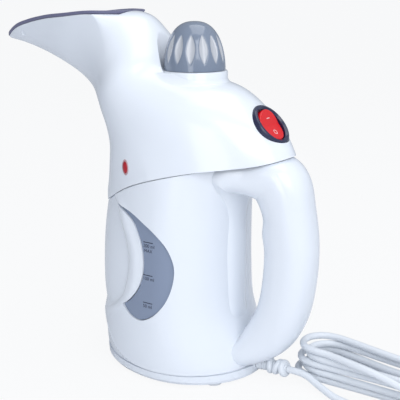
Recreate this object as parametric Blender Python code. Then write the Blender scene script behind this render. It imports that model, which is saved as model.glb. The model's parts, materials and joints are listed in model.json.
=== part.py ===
"""Handheld garment steamer: kettle-shaped body with a D handle, beak-shaped steam head,
screw-down filler cap, rocker switch and a mains cord tied up in a hank.

Metres, +Z up. X runs from the nose (-X) to the handle (+X). The origin is under the
middle of the steamer's length, at the height of the four rubber feet. The part is symmetric about
the XZ plane, apart from its cord and the indicator lamp.
"""

import math

import bmesh
import bpy
from mathutils import Matrix, Vector

GAP = 0.0003

# Lower body: height, reach to the nose side, reach to the handle side, half width.
BODY_X = 0.0375
BODY_WALL = 0.0026
BODY_STATIONS = (
    (0.0085, 0.0675, 0.0535, 0.0540),
    (0.0130, 0.0688, 0.0535, 0.0548),
    (0.0240, 0.0695, 0.0490, 0.0550),
    (0.0460, 0.0705, 0.0400, 0.0548),
    (0.0720, 0.0705, 0.0380, 0.0540),
    (0.0980, 0.0690, 0.0380, 0.0530),
    (0.1210, 0.0660, 0.0390, 0.0520),
    (0.1440, 0.0615, 0.0430, 0.0500),
    (0.1700, 0.0580, 0.0480, 0.0470),
)

# Seam between body and head, as height over X. It is the same on both sides.
SEAM = (
    (-0.0465, 0.1060),
    (-0.0115, 0.1220),
    (0.0155, 0.1360),
    (0.0375, 0.1440),
    (0.0635, 0.1503),
    (0.0885, 0.1540),
    (0.1055, 0.1567),
    (0.1175, 0.1605),
    (0.1335, 0.1680),
)

# Head: sections fan out about a line along Y at this X and Z. Each has its angle, the
# radius of its underside and of its roof, its half width, where it is widest (0 is
# halfway between underside and roof, 1 is at the roof) and how far the roof is pinched.
FAN_X = -0.1265
FAN_Z = 0.105
HEAD_WALL = 0.0026
HEAD_STATIONS = (
    (-8.0, 0.1000, 0.2440, 0.0510, -0.10, 0.28),
    (2.0, 0.0985, 0.2490, 0.0515, -0.10, 0.28),
    (10.0, 0.0995, 0.2505, 0.0512, -0.10, 0.28),
    (16.0, 0.1045, 0.2455, 0.0505, -0.12, 0.20),
    (21.0, 0.1100, 0.2350, 0.0495, -0.14, 0.05),
    (26.0, 0.1165, 0.2220, 0.0480, -0.14, 0.0),
    (31.0, 0.1210, 0.2030, 0.0455, -0.12, 0.0),
    (36.0, 0.1230, 0.1895, 0.0425, -0.05, 0.0),
    (40.0, 0.1235, 0.1895, 0.0400, 0.05, 0.0),
    (45.0, 0.1230, 0.1910, 0.0330, 0.10, 0.0),
    (50.0, 0.1218, 0.1895, 0.0290, 0.35, 0.0),
    (56.3, 0.1205, 0.1767, 0.0270, 0.90, 0.0),
    (64.2, 0.1193, 0.1610, 0.0240, 1.0, 0.0),
    (72.5, 0.1190, 0.1494, 0.0190, 1.0, 0.0),
    (79.8, 0.1198, 0.1412, 0.0150, 1.0, 0.0),
    (85.8, 0.1212, 0.1354, 0.0115, 1.0, 0.0),
    (91.3, 0.1228, 0.1290, 0.0065, 1.0, 0.0),
    (93.5, 0.1240, 0.1265, 0.0030, 1.0, 0.0),
)
MOUTH_FROM = 52.0
MOUTH_TO = 92.5
MOUTH_LIP = 0.0026

# Window of the water gauge, as X and Z seen from the flank: its rear edge from the top
# point round to the lower front tip, and its front edge from there back to the top.
WINDOW_REAR = (
    (0.0050, 0.1235),
    (0.0202, 0.1194),
    (0.0315, 0.1138),
    (0.0408, 0.1078),
    (0.0485, 0.0995),
    (0.0528, 0.0892),
    (0.0536, 0.0800),
    (0.0518, 0.0690),
    (0.0475, 0.0588),
    (0.0400, 0.0502),
    (0.0305, 0.0452),
    (0.0220, 0.0456),
    (0.0155, 0.0492),
    (0.0128, 0.0530),
)
WINDOW_FRONT = (
    (0.0128, 0.0530),
    (0.0185, 0.0564),
    (0.0264, 0.0655),
    (0.0310, 0.0758),
    (0.0320, 0.0855),
    (0.0308, 0.0955),
    (0.0272, 0.1054),
    (0.0205, 0.1150),
    (0.0050, 0.1235),
)

# Handle: closed centre line in X and Z, with the half depth and half width there.
HANDLE_STATIONS = (
    (0.0735, 0.1440, 0.0140, 0.0300),
    (0.0915, 0.1460, 0.0150, 0.0235),
    (0.1075, 0.1412, 0.0185, 0.0200),
    (0.1146, 0.1212, 0.0174, 0.0182),
    (0.1174, 0.0970, 0.0178, 0.0180),
    (0.1160, 0.0710, 0.0176, 0.0182),
    (0.1115, 0.0500, 0.0172, 0.0186),
    (0.1015, 0.0320, 0.0160, 0.0195),
    (0.0865, 0.0190, 0.0112, 0.0220),
    (0.0715, 0.0205, 0.0105, 0.0200),
    (0.0680, 0.0500, 0.0108, 0.0150),
    (0.0680, 0.0900, 0.0108, 0.0147),
    (0.0680, 0.1200, 0.0110, 0.0160),
)

# Filler neck and cap.
CAP_X = 0.0390
COLLAR_TOP = 0.2130
COLLAR_RADIUS = 0.0230
NECK_RADIUS = 0.0172
NECK_BORE = 0.0150
NECK_BOTTOM = 0.1240
CAP_RADIUS = 0.0214
CAP_HEIGHT = 0.0325
CAP_FLUTES = 14
PLUG_RADIUS = 0.0138
PLUG_DEPTH = 0.0150
SEAL_RADIUS = 0.0190
SEAL_THICK = 0.0014

# Rocker switch: centre of the bezel on the roof, and the lean of its face.
SWITCH_X = 0.0995
SWITCH_Z = 0.1800
SWITCH_TILT = math.radians(49.0)
BEZEL_RADIUS = 0.0156
BEZEL_BORE = 0.0123
BEZEL_DEPTH = 0.0070
ROCKER_RADIUS = 0.0116
ROCKER_PIVOT = -0.0025
ROCKER_LEAN = math.radians(7.0)

# Indicator lamp on the nose side of the -Y flank.
LAMP = Vector((0.0144, -0.0480, 0.1500))
LAMP_FACES = Vector((-0.256, -0.966, -0.017)).normalized()
LAMP_HALF_WIDTH = 0.0030
LAMP_HALF_HEIGHT = 0.0050

# Tank, heater and steam duct inside.
TANK_NOSE = 0.0475
TANK_INSET = 0.0046
TANK_WALL = 0.0018
TANK_BOTTOM = 0.0480
TANK_TOP = 0.1130
DUCT_X = -0.0185
DUCT_RADIUS = 0.0050
DUCT_BORE = 0.0035
BOILER_BOTTOM = 0.0190
BOILER_TOP = 0.0420

# Base.
BASE_BOTTOM = 0.0015
BASE_TOP = 0.0082
FOOT_RADIUS = 0.0055
FOOT_SPREAD_X = 0.0370
FOOT_SPREAD_Y = 0.0300
SCREW_SPREAD_X = 0.0360
SCREW_SPREAD_Y = 0.0140

# Cord.
CORD_RADIUS = 0.0024
CORD_EXIT = Vector((0.1165, 0.0, 0.0090))
RELIEF_START = 0.0940
BOSS_END = 0.0937
CORD_ROUTE = (
    (0.1168, 0.0000, 0.0090),
    (0.1240, 0.0000, 0.0090),
    (0.1320, -0.0008, 0.0082),
    (0.1440, -0.0050, 0.0050),
    (0.1580, -0.0105, 0.0030),
    (0.1750, -0.0135, 0.0026),
    (0.1950, -0.0142, 0.0026),
    (0.2100, -0.0142, 0.0026),
    (0.2250, -0.0138, 0.0026),
)
HANK_START = Vector((0.1140, 0.0225, 0.0))
HANK_END = Vector((0.2650, 0.0080, 0.0))
HANK_HALF_WIDTH = 0.0180
HANK_BOTTOM = 0.0002
HANK_TOP = 0.0272
TIE_AT = 0.72
TIE_WIDTH = 0.0080
PLUG_Y = -0.0125
PLUG_RADIUS_OUT = 0.0125

WHITE = (0.82, 0.85, 0.90)
GREY_BLUE = (0.20, 0.25, 0.38)


def material(name, colour, roughness, metallic=0.0):
    made = bpy.data.materials.new(name)
    made.use_nodes = True
    shader = made.node_tree.nodes["Principled BSDF"]
    shader.inputs["Base Color"].default_value = (*colour, 1.0)
    shader.inputs["Roughness"].default_value = roughness
    shader.inputs["Metallic"].default_value = metallic
    made.diffuse_color = (*colour, 1.0)
    return made


def add_object(name, mesh, colour, roughness, metallic=0.0, origin=(0, 0, 0)):
    """Makes an object from a bmesh in world coordinates, with its origin where it is asked for."""
    bmesh.ops.recalc_face_normals(mesh, faces=mesh.faces)
    bmesh.ops.translate(mesh, verts=mesh.verts, vec=-Vector(origin))
    data = bpy.data.meshes.new(name)
    mesh.to_mesh(data)
    mesh.free()
    made = bpy.data.objects.new(name, data)
    made.location = origin
    bpy.context.scene.collection.objects.link(made)
    data.materials.append(material(name, colour, roughness, metallic))
    return made


def cutter(name, mesh):
    made = add_object(name, mesh, (0.5, 0.5, 0.5), 0.5)
    made.hide_render = True
    made.display_type = "WIRE"
    return made


def boolean(target, other, operation="DIFFERENCE"):
    modifier = target.modifiers.new(operation + "_" + other.name, "BOOLEAN")
    modifier.operation = operation
    modifier.solver = "EXACT"
    modifier.object = other


def loft(rings, closed=False):
    """A bmesh skinned over rings of the same number of points. It is capped, or closed on itself."""
    mesh = bmesh.new()
    rows = [[mesh.verts.new(point) for point in ring] for ring in rings]
    pairs = list(zip(rows, rows[1:]))
    if closed:
        pairs.append((rows[-1], rows[0]))
    for low, high in pairs:
        for i in range(len(low)):
            j = (i + 1) % len(low)
            mesh.faces.new((low[i], low[j], high[j], high[i]))
    if not closed:
        mesh.faces.new(rows[0])
        mesh.faces.new(rows[-1])
    return mesh


def spline(stations, at):
    """Catmull-Rom value of the rest of the columns at a value of the first one."""
    last = len(stations) - 1
    i = 0
    while i < last - 1 and at > stations[i + 1][0]:
        i += 1
    p1, p2 = stations[i], stations[i + 1]
    p0 = stations[max(i - 1, 0)]
    p3 = stations[min(i + 2, last)]
    span = p2[0] - p1[0]
    t = min(max((at - p1[0]) / span, 0.0), 1.0)
    values = []
    for k in range(1, len(p1)):
        m1 = (p2[k] - p0[k]) / (p2[0] - p0[0]) * span
        m2 = (p3[k] - p1[k]) / (p3[0] - p1[0]) * span
        values.append(
            (2 * t**3 - 3 * t**2 + 1) * p1[k]
            + (t**3 - 2 * t**2 + t) * m1
            + (3 * t**2 - 2 * t**3) * p2[k]
            + (t**3 - t**2) * m2
        )
    return values


def through(values, t):
    """Catmull-Rom value between the middle two of four values, t of the way along."""
    a, b, c, d = values
    square = 2 * a - 5 * b + 4 * c - d
    cube = 3 * b - a - 3 * c + d
    return 0.5 * (2 * b + (c - a) * t + square * t**2 + cube * t**3)


def seam_height(x):
    return spline(SEAM, x)[0]


def body_ring(z, inset=0.0, points=48):
    nose, rear, half = (value - inset for value in spline(BODY_STATIONS, z))
    ring = []
    for k in range(points):
        angle = 2 * math.pi * k / points
        reach = rear if math.cos(angle) > 0 else nose
        ring.append((BODY_X + reach * math.cos(angle), half * math.sin(angle), z))
    return ring


def body_solid(low, high, inset=0.0, rows=12, points=48):
    return loft([body_ring(low + (high - low) * k / rows, inset, points) for k in range(rows + 1)])


def head_ring(angle, inset=0.0, points=40):
    """A closed section of the head, in the plane through the fan line at an angle in degrees."""
    inner, outer, half, widest, pinch = spline(HEAD_STATIONS, angle)
    widest = min(widest, 1.0)
    middle = (inner + outer) / 2
    deep = (outer - inner) / 2 - inset
    half -= inset
    direction = Vector((math.cos(math.radians(angle)), 0, math.sin(math.radians(angle))))
    ring = []
    for k in range(points):
        turn = 2 * math.pi * k / points
        if math.cos(turn) < 0:
            along = widest + (1 + widest) * math.cos(turn)
        else:
            along = widest + (1 - widest) * math.cos(turn)
        centre = Vector((FAN_X, 0, FAN_Z)) + direction * (middle + along * deep)
        side = half * math.sin(turn) * (1 - pinch * max(math.cos(turn), 0.0))
        ring.append(centre + Vector((0, side, 0)))
    return ring


def head_solid(first, last, inset=0.0, rows=24, points=40):
    step = (last - first) / rows
    return loft([head_ring(first + step * k, inset, points) for k in range(rows + 1)])


def slab_under(outline, half_width):
    """A solid with this XZ outline, reaching half_width to each side of the XZ plane."""
    return loft([[(x, y, z) for x, z in outline] for y in (-half_width, half_width)])


def seam_slab(shift, above):
    """Everything above or below the seam, shifted up by shift."""
    steps = 48
    low, high = SEAM[0][0] - 0.10, SEAM[-1][0] + 0.02
    edge = []
    for k in range(steps + 1):
        x = low + (high - low) * k / steps
        edge.append((x, seam_height(x) + shift))
    far = 0.32 if above else -0.05
    return slab_under(edge + [(high, far), (low, far)], 0.09)


def round_bar(radius, low, high, x=0.0, y=0.0, segments=24, bore=0.0):
    """An upright cylinder, or a tube where bore is given."""
    def ring(r, z):
        return [
            (x + r * math.cos(2 * math.pi * k / segments), y + r * math.sin(2 * math.pi * k / segments), z)
            for k in range(segments)
        ]
    if bore:
        return loft([ring(radius, low), ring(radius, high), ring(bore, high), ring(bore, low)], closed=True)
    return loft([ring(radius, low), ring(radius, high)])


def box(size, centre):
    mesh = bmesh.new()
    bmesh.ops.create_cube(mesh, size=1.0)
    bmesh.ops.scale(mesh, vec=size, verts=mesh.verts)
    bmesh.ops.translate(mesh, vec=centre, verts=mesh.verts)
    return mesh


def turned(profile, axis_point, direction, segments=24, ring=False):
    """A solid of revolution. The profile is (radius, height along direction), capped at both ends.

    With ring=True the profile is a closed outline away from the axis, and the solid a ring.
    """
    direction = Vector(direction).normalized()
    side = Vector((0, 1, 0)) if abs(direction.y) < 0.9 else Vector((1, 0, 0))
    across = side.cross(direction).normalized()
    side = direction.cross(across)
    rings = []
    for radius, height in profile:
        centre = Vector(axis_point) + direction * height
        turns = (2 * math.pi * k / segments for k in range(segments))
        rings.append([centre + (across * math.cos(turn) + side * math.sin(turn)) * radius for turn in turns])
    return loft(rings, closed=ring)


def joined(meshes):
    """One bmesh holding several that don't touch."""
    whole = bmesh.new()
    for mesh in meshes:
        data = bpy.data.meshes.new("joining")
        mesh.to_mesh(data)
        mesh.free()
        whole.from_mesh(data)
        bpy.data.meshes.remove(data)
    return whole


def pipe(points, outer, bore, segments=16):
    """A hollow tube along points in the XZ plane."""
    rings = []
    for i, point in enumerate(points):
        ahead = Vector(points[min(i + 1, len(points) - 1)]) - Vector(points[max(i - 1, 0)])
        normal = Vector((0, 1, 0)).cross(ahead).normalized()
        rings.append([
            (Vector(point), normal * math.cos(turn) + Vector((0, math.sin(turn), 0)))
            for turn in (2 * math.pi * k / segments for k in range(segments))
        ])
    walls = [[centre + out * outer for centre, out in ring] for ring in rings]
    walls += [[centre + out * bore for centre, out in ring] for ring in reversed(rings)]
    return loft(walls, closed=True)


def clear_scene():
    for obj in list(bpy.data.objects):
        bpy.data.objects.remove(obj)


def mouth_slab(first, last, low, high, shrink, rows=16):
    """A slab that follows the curved mouth. Low and high are measured from its surface along the fan."""
    rings = []
    for k in range(rows + 1):
        angle = first + (last - first) * k / rows
        outer, half = spline(HEAD_STATIONS, angle)[1:3]
        rounding = min(max((angle - MOUTH_FROM + 1.0) / 9.0, 0.0), 1.0)
        half = max(half * math.sqrt(1 - (1 - rounding) ** 2) - shrink, 0.0012)
        direction = Vector((math.cos(math.radians(angle)), 0, math.sin(math.radians(angle))))
        foot = Vector((FAN_X, 0, FAN_Z)) + direction * (outer + low)
        top = Vector((FAN_X, 0, FAN_Z)) + direction * (outer + high)
        side = Vector((0, half, 0))
        rings.append([foot - side, foot + side, top + side, top - side])
    return loft(rings)


def switch_normal():
    return Vector((math.sin(SWITCH_TILT), 0, math.cos(SWITCH_TILT)))


def switch_point(depth=0.0, x=0.0, y=0.0):
    """A point x down the roof, y across it and depth along the switch's facing direction."""
    normal = switch_normal()
    down = Vector((normal.z, 0, -normal.x))
    return Vector((SWITCH_X, 0, SWITCH_Z)) + normal * depth + down * x + Vector((0, y, 0))


def lamp_bar(grow, low, high):
    half = (LAMP_HALF_WIDTH + grow, LAMP_HALF_HEIGHT + grow)
    across = LAMP_FACES.cross(Vector((0, 0, 1))).normalized()
    up = across.cross(LAMP_FACES).normalized()
    rings = []
    for height in (low, high):
        rings.append([
            LAMP + LAMP_FACES * height
            + across * (half[0] * math.cos(turn)) + up * (half[1] * math.sin(turn))
            for turn in (2 * math.pi * k / 20 for k in range(20))
        ])
    return loft(rings)


def make_head():
    head = add_object("head_shell", head_solid(-8.0, 93.5, rows=36), WHITE, 0.25)
    boolean(head, cutter("head_seam_cut", seam_slab(GAP / 2, above=True)), "INTERSECT")
    hollow = cutter("head_hollow_cut", head_solid(-8.0, 82.0, HEAD_WALL, rows=28, points=32))
    wall = round_bar(COLLAR_RADIUS + GAP + HEAD_WALL, 0.1985, 0.300, CAP_X, segments=40)
    boolean(hollow, cutter("head_collar_wall", wall))
    boolean(head, hollow)
    mouth = mouth_slab(MOUTH_FROM - 1.2, 97.0, -MOUTH_LIP - GAP, 0.02, -0.012)
    boolean(head, cutter("head_mouth_cut", mouth))
    hole = round_bar(COLLAR_RADIUS + GAP, 0.170, 0.300, CAP_X, segments=40)
    boolean(head, cutter("head_collar_cut", hole))
    profile = [(BEZEL_RADIUS + GAP, -0.016), (BEZEL_RADIUS + GAP, 0.02)]
    hole = turned(profile, switch_point(), switch_normal(), 36)
    boolean(head, cutter("head_switch_cut", hole))
    boolean(head, cutter("head_lamp_cut", lamp_bar(GAP, -0.008, 0.008)))


def make_mouth():
    frame = mouth_slab(MOUTH_FROM, MOUTH_TO, -MOUTH_LIP, 0.0, 0.0)
    frame = add_object("mouth_frame", frame, GREY_BLUE, 0.4)
    opening = mouth_slab(MOUTH_FROM + 1.6, MOUTH_TO - 2.5, -0.006, 0.004, 0.0026)
    boolean(frame, cutter("frame_opening_cut", opening))
    plate = mouth_slab(MOUTH_FROM + 1.75, MOUTH_TO - 2.7, -MOUTH_LIP, -0.0008, 0.0026 + GAP)
    plate = add_object("steam_plate", plate, (0.62, 0.65, 0.70), 0.35)
    vents = []
    for angle in (60.0, 64.0, 68.0, 72.0, 76.0):
        outer = spline(HEAD_STATIONS, angle)[1]
        direction = Vector((math.cos(math.radians(angle)), 0, math.sin(math.radians(angle))))
        for y in (-0.0075, 0.0, 0.0075):
            start = Vector((FAN_X, y, FAN_Z)) + direction * (outer - 0.006)
            vents.append(turned([(0.0012, 0.0), (0.0012, 0.010)], start, direction, 10))
    boolean(plate, cutter("steam_vents_cut", joined(vents)))
    tray = mouth_slab(59.0, 78.0, -0.0100, -MOUTH_LIP - 0.0010, 0.0075, rows=6)
    tray = add_object("steam_tray", tray, (0.75, 0.75, 0.72), 0.5)
    hollow = mouth_slab(60.0, 77.0, -0.0085, 0.002, 0.0090, rows=6)
    boolean(tray, cutter("steam_tray_cut", hollow))


def window_prism(grow):
    """The crescent of the water gauge as a prism along Y, through both flanks."""
    outline = []
    for side in (WINDOW_REAR, WINDOW_FRONT):
        count = len(side) - 1
        for k in range(2 * count):
            i = k // 2
            p0, p1, p2, p3 = side[max(i - 1, 0)], side[i], side[i + 1], side[min(i + 2, count)]
            t = 0.5 * (k % 2)
            outline.append(Vector([through(values, t) for values in zip(p0, p1, p2, p3)]))
    grown = []
    for i, point in enumerate(outline):
        back = (point - outline[i - 1]).normalized()
        ahead = (outline[(i + 1) % len(outline)] - point).normalized()
        out = Vector((-(back.y + ahead.y), back.x + ahead.x)).normalized()
        grown.append(point + out * grow)
    return slab_under([tuple(point) for point in grown], 0.09)


def make_body():
    body = add_object("body_shell", body_solid(0.0085, 0.165, rows=14), WHITE, 0.25)
    boolean(body, cutter("body_hollow_cut", body_solid(0.0085, 0.170, BODY_WALL, rows=14, points=48)))
    boolean(body, cutter("body_seam_cut", seam_slab(-GAP / 2, above=False)), "INTERSECT")
    boolean(body, cutter("body_window_cut", window_prism(1.5 * GAP)))
    groove = turned([(0.0062, 0.0), (0.0062, 0.070)], (0.060, 0, CORD_EXIT.z), (1, 0, 0), 20)
    boolean(body, cutter("body_cord_cut", groove))
    for name, side in (("window_near", -1), ("window_far", 1)):
        pane = add_object(name, body_solid(0.030, 0.135, 0.0004, rows=10), GREY_BLUE, 0.15)
        boolean(pane, cutter(name + "_hollow_cut", body_solid(0.020, 0.145, 0.0022, rows=12)))
        boolean(pane, cutter(name + "_shape_cut", window_prism(0.0)), "INTERSECT")
        half = box((0.2, 0.1, 0.3), (BODY_X, -side * 0.052, 0.08))
        boolean(pane, cutter(name + "_half_cut", half))


def make_handle():
    loop = add_object("handle_loop", handle_loop(), WHITE, 0.25)
    groove = turned([(0.0062, 0.0), (0.0062, 0.070)], (0.060, 0, CORD_EXIT.z), (1, 0, 0), 20)
    boolean(loop, cutter("handle_cord_cut", groove))
    boolean(loop, cutter("handle_body_cut", body_solid(0.0085, 0.165, -GAP, rows=14)))
    boolean(loop, cutter("handle_seam_cut", seam_slab(-GAP / 2, above=False)), "INTERSECT")
    under = box((0.2, 0.1, 0.05), (0.1, 0.0, BASE_TOP + 2 * GAP - 0.025))
    boolean(loop, cutter("handle_base_cut", under))


def make_filler():
    profile = [
        (NECK_BORE, COLLAR_TOP), (COLLAR_RADIUS, COLLAR_TOP), (COLLAR_RADIUS, 0.1930),
        (NECK_RADIUS, 0.1880), (NECK_RADIUS, NECK_BOTTOM), (NECK_BORE, NECK_BOTTOM),
    ]
    add_object("filler_neck", turned(profile, (CAP_X, 0, 0), (0, 0, 1), 40, ring=True), WHITE, 0.25)
    low = COLLAR_TOP + GAP
    profile = [
        (PLUG_RADIUS + GAP, low), (SEAL_RADIUS, low), (SEAL_RADIUS, low + SEAL_THICK),
        (PLUG_RADIUS + GAP, low + SEAL_THICK),
    ]
    seal = turned(profile, (CAP_X, 0, 0), (0, 0, 1), 32, ring=True)
    add_object("cap_seal", seal, (0.70, 0.70, 0.72), 0.7, origin=(CAP_X, 0, COLLAR_TOP))
    make_cap(low)
    top = low + SEAL_THICK
    plug = turned([(PLUG_RADIUS, low - PLUG_DEPTH), (PLUG_RADIUS, top)], (CAP_X, 0, 0), (0, 0, 1), 32)
    add_object("cap_plug", plug, (0.80, 0.80, 0.82), 0.4, origin=(CAP_X, 0, COLLAR_TOP))


def make_cap(low):
    """The fluted dome. Its underside has a recess that takes the seal."""
    segments, rows = 4 * CAP_FLUTES, 12
    recess = low + SEAL_THICK + GAP
    rings = [
        [(SEAL_RADIUS + GAP, recess)] * segments,
        [(SEAL_RADIUS + GAP, low)] * segments,
    ]
    for i in range(rows):
        t = i / rows
        height = low + CAP_HEIGHT * math.sin(math.pi / 2 * t)
        radius = CAP_RADIUS * math.cos(math.pi / 2 * t) ** 0.80
        flute = math.sin(math.pi * min(max((t - 0.08) / 0.62, 0.0), 1.0)) * 0.0011
        rings.append([
            (radius - flute * (0.5 - 0.5 * math.cos(2 * math.pi * k / 4)), height) for k in range(segments)
        ])
    solid = loft([
        [
            (CAP_X + r * math.cos(2 * math.pi * k / segments), r * math.sin(2 * math.pi * k / segments), z)
            for k, (r, z) in enumerate(ring)
        ]
        for ring in rings
    ])
    add_object("fill_cap", solid, GREY_BLUE, 0.15, origin=(CAP_X, 0, COLLAR_TOP))


def make_switch():
    normal = switch_normal()
    profile = [
        (BEZEL_BORE, -BEZEL_DEPTH), (BEZEL_RADIUS, -BEZEL_DEPTH), (BEZEL_RADIUS, 0.0008),
        (BEZEL_RADIUS - 0.0010, 0.0018), (BEZEL_BORE, 0.0012),
    ]
    bezel = turned(profile, switch_point(), normal, 36, ring=True)
    add_object("switch_bezel", bezel, (0.02, 0.025, 0.09), 0.3)
    lean = Matrix.Rotation(ROCKER_LEAN, 3, "Y")
    profile = [(ROCKER_RADIUS, -0.0030), (ROCKER_RADIUS, 0.0014), (ROCKER_RADIUS - 0.0008, 0.0022)]
    pivot = switch_point(ROCKER_PIVOT)
    rocker = turned(profile, pivot, lean @ normal, 28)
    rocker = add_object("power_rocker", rocker, (0.75, 0.02, 0.03), 0.25, origin=pivot)
    bore = turned([(0.0015, -0.02), (0.0015, 0.02)], pivot, (0, 1, 0), 12)
    boolean(rocker, cutter("rocker_bore_cut", bore))
    pin = turned([(0.0012, -0.0102), (0.0012, 0.0102)], pivot, (0, 1, 0), 12)
    add_object("rocker_pin", pin, (0.6, 0.6, 0.62), 0.3, 1.0)
    body = bmesh.new()
    bmesh.ops.create_cube(body, size=1.0)
    bmesh.ops.scale(body, vec=(0.0180, 0.0130, 0.0130), verts=body.verts)
    bmesh.ops.rotate(body, verts=body.verts, matrix=Matrix.Rotation(SWITCH_TILT, 3, "Y"))
    bmesh.ops.translate(body, verts=body.verts, vec=switch_point(-0.0160))
    add_object("switch_body", body, (0.03, 0.03, 0.035), 0.5)


def make_lamp():
    add_object("indicator_lens", lamp_bar(0.0, -0.0034, 0.0009), (0.60, 0.0, 0.03), 0.1)
    bulb = turned([(0.0018, 0.0), (0.0018, 0.0070)], LAMP - LAMP_FACES * 0.0110, LAMP_FACES, 14)
    add_object("indicator_lamp", bulb, (0.9, 0.55, 0.4), 0.2)


def tank_ring(z, inset):
    half = spline(BODY_STATIONS, z)[2] - inset
    rear = 0.0280 - (inset - TANK_INSET)
    nose = TANK_NOSE - (inset - TANK_INSET)
    ring = []
    for k in range(40):
        angle = 2 * math.pi * k / 40
        reach = rear if math.cos(angle) > 0 else nose
        ring.append((BODY_X + reach * math.cos(angle), half * math.sin(angle), z))
    return ring


def make_inside():
    tank_inner = TANK_INSET + TANK_WALL
    walls = [tank_ring(TANK_BOTTOM + (TANK_TOP - TANK_BOTTOM) * k / 4, TANK_INSET) for k in range(5)]
    floor = TANK_BOTTOM + TANK_WALL
    walls += [tank_ring(TANK_TOP + (floor - TANK_TOP) * k / 4, tank_inner) for k in range(5)]
    add_object("water_tank", loft(walls), (0.45, 0.52, 0.62), 0.2)
    lid = loft([tank_ring(z, TANK_INSET) for z in (TANK_TOP + GAP, TANK_TOP + 0.0024)])
    lid = add_object("tank_lid", lid, (0.80, 0.82, 0.84), 0.4)
    boolean(lid, cutter("tank_lid_cut", round_bar(NECK_BORE - 0.001, 0.10, 0.13, CAP_X)))
    gasket = turned(
        [(NECK_BORE, 0.1157), (NECK_RADIUS, 0.1157), (NECK_RADIUS, 0.1237), (NECK_BORE, 0.1237)],
        (CAP_X, 0, 0), (0, 0, 1), 24, ring=True
    )
    add_object("neck_gasket", gasket, (0.55, 0.20, 0.12), 0.8)
    block = loft([egg_ring(z, 0.0620, 0.0300, 0.0400, 40) for z in (BOILER_BOTTOM, BOILER_TOP)])
    block = add_object("boiler_block", block, (0.70, 0.70, 0.72), 0.45, 1.0)
    chamber = turned([(0.024, 0.030), (0.024, 0.06)], (BODY_X, 0, 0), (0, 0, 1), 28)
    boolean(block, cutter("boiler_chamber_cut", chamber))
    seal = [(0.0250, BOILER_TOP + GAP), (0.0285, BOILER_TOP + GAP), (0.0285, 0.0477), (0.0250, 0.0477)]
    seal = turned(seal, (BODY_X, 0, 0), (0, 0, 1), 28, ring=True)
    add_object("boiler_gasket", seal, (0.55, 0.20, 0.12), 0.8)
    element = [(0.0210, 0.0140), (0.0250, 0.0140), (0.0250, 0.0187), (0.0210, 0.0187)]
    element = turned(element, (BODY_X, 0, 0), (0, 0, 1), 28, ring=True)
    add_object("heating_element", element, (0.35, 0.33, 0.32), 0.4, 1.0)
    thermostat = turned([(0.0085, 0.0115), (0.0085, 0.0187)], (BODY_X, 0, 0), (0, 0, 1), 20)
    add_object("thermostat", thermostat, (0.75, 0.72, 0.62), 0.5, 0.5)
    fuse = turned([(0.0022, -0.0080), (0.0022, 0.0080)], (BODY_X - 0.036, 0, 0.0160), (0, 1, 0), 12)
    add_object("thermal_fuse", fuse, (0.85, 0.80, 0.70), 0.5)
    path = [(DUCT_X, 0, BOILER_TOP + GAP), (DUCT_X, 0, 0.080), (DUCT_X, 0, 0.118), (-0.0150, 0, 0.136)]
    path += [(-0.0125, 0, 0.155), (-0.0135, 0, 0.173), (-0.0190, 0, 0.190), (-0.0290, 0, 0.205)]
    path += [(-0.0410, 0, 0.217), (-0.0540, 0, 0.2275)]
    add_object("steam_duct", pipe(path, DUCT_RADIUS, DUCT_BORE, 14), (0.80, 0.80, 0.78), 0.5)


def make_base():
    base = loft([
        egg_ring(BASE_BOTTOM, 0.0655, 0.0545, 0.0518),
        egg_ring(BASE_BOTTOM + 0.0022, 0.0672, 0.0552, 0.0536),
        egg_ring(BASE_TOP, 0.0676, 0.0553, 0.0541),
    ])
    base = add_object("base_cover", base, WHITE, 0.3)
    boss = turned([(0.0058, 0.0), (0.0058, BOSS_END - 0.0780)], (0.0780, 0, CORD_EXIT.z), (1, 0, 0), 20)
    boolean(base, cutter("base_boss", boss), "UNION")
    holes = []
    for i, (x, y) in enumerate(corners(SCREW_SPREAD_X, SCREW_SPREAD_Y)):
        profile = [(0.0031, 0.0), (0.0031, 0.0053), (0.0017, 0.0053), (0.0017, 0.02)]
        holes.append(turned(profile, (x, y, 0), (0, 0, 1), 14))
        profile = [(0.0028, 0.0032), (0.0028, 0.0050), (0.0014, 0.0050), (0.0014, 0.0120)]
        screw = turned(profile, (x, y, 0), (0, 0, 1), 14)
        add_object(f"base_screw_{i + 1}", screw, (0.65, 0.65, 0.67), 0.3, 1.0)
    boolean(base, cutter("base_holes_cut", joined(holes)))
    for i, (x, y) in enumerate(corners(FOOT_SPREAD_X, FOOT_SPREAD_Y)):
        foot = turned([(FOOT_RADIUS, 0.0), (FOOT_RADIUS, BASE_BOTTOM - GAP)], (x, y, 0), (0, 0, 1), 20)
        add_object(f"foot_{i + 1}", foot, (0.10, 0.10, 0.11), 0.85)


def corners(spread_x, spread_y):
    return [(BODY_X + sx * spread_x, sy * spread_y) for sx in (-1, 1) for sy in (-1, 1)]


def smooth_route(points, step):
    """Points about one step apart along a smooth curve through the route."""
    fine = []
    for i in range(len(points) - 1):
        p0, p1 = points[max(i - 1, 0)], points[i]
        p2, p3 = points[i + 1], points[min(i + 2, len(points) - 1)]
        for k in range(8):
            t = k / 8
            fine.append(Vector([through(values, t) for values in zip(p0, p1, p2, p3)]))
    fine.append(Vector(points[-1]))
    chosen = [fine[0]]
    for point in fine[1:-1]:
        if (point - chosen[-1]).length >= step:
            chosen.append(point)
    chosen.append(fine[-1])
    return chosen


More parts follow.
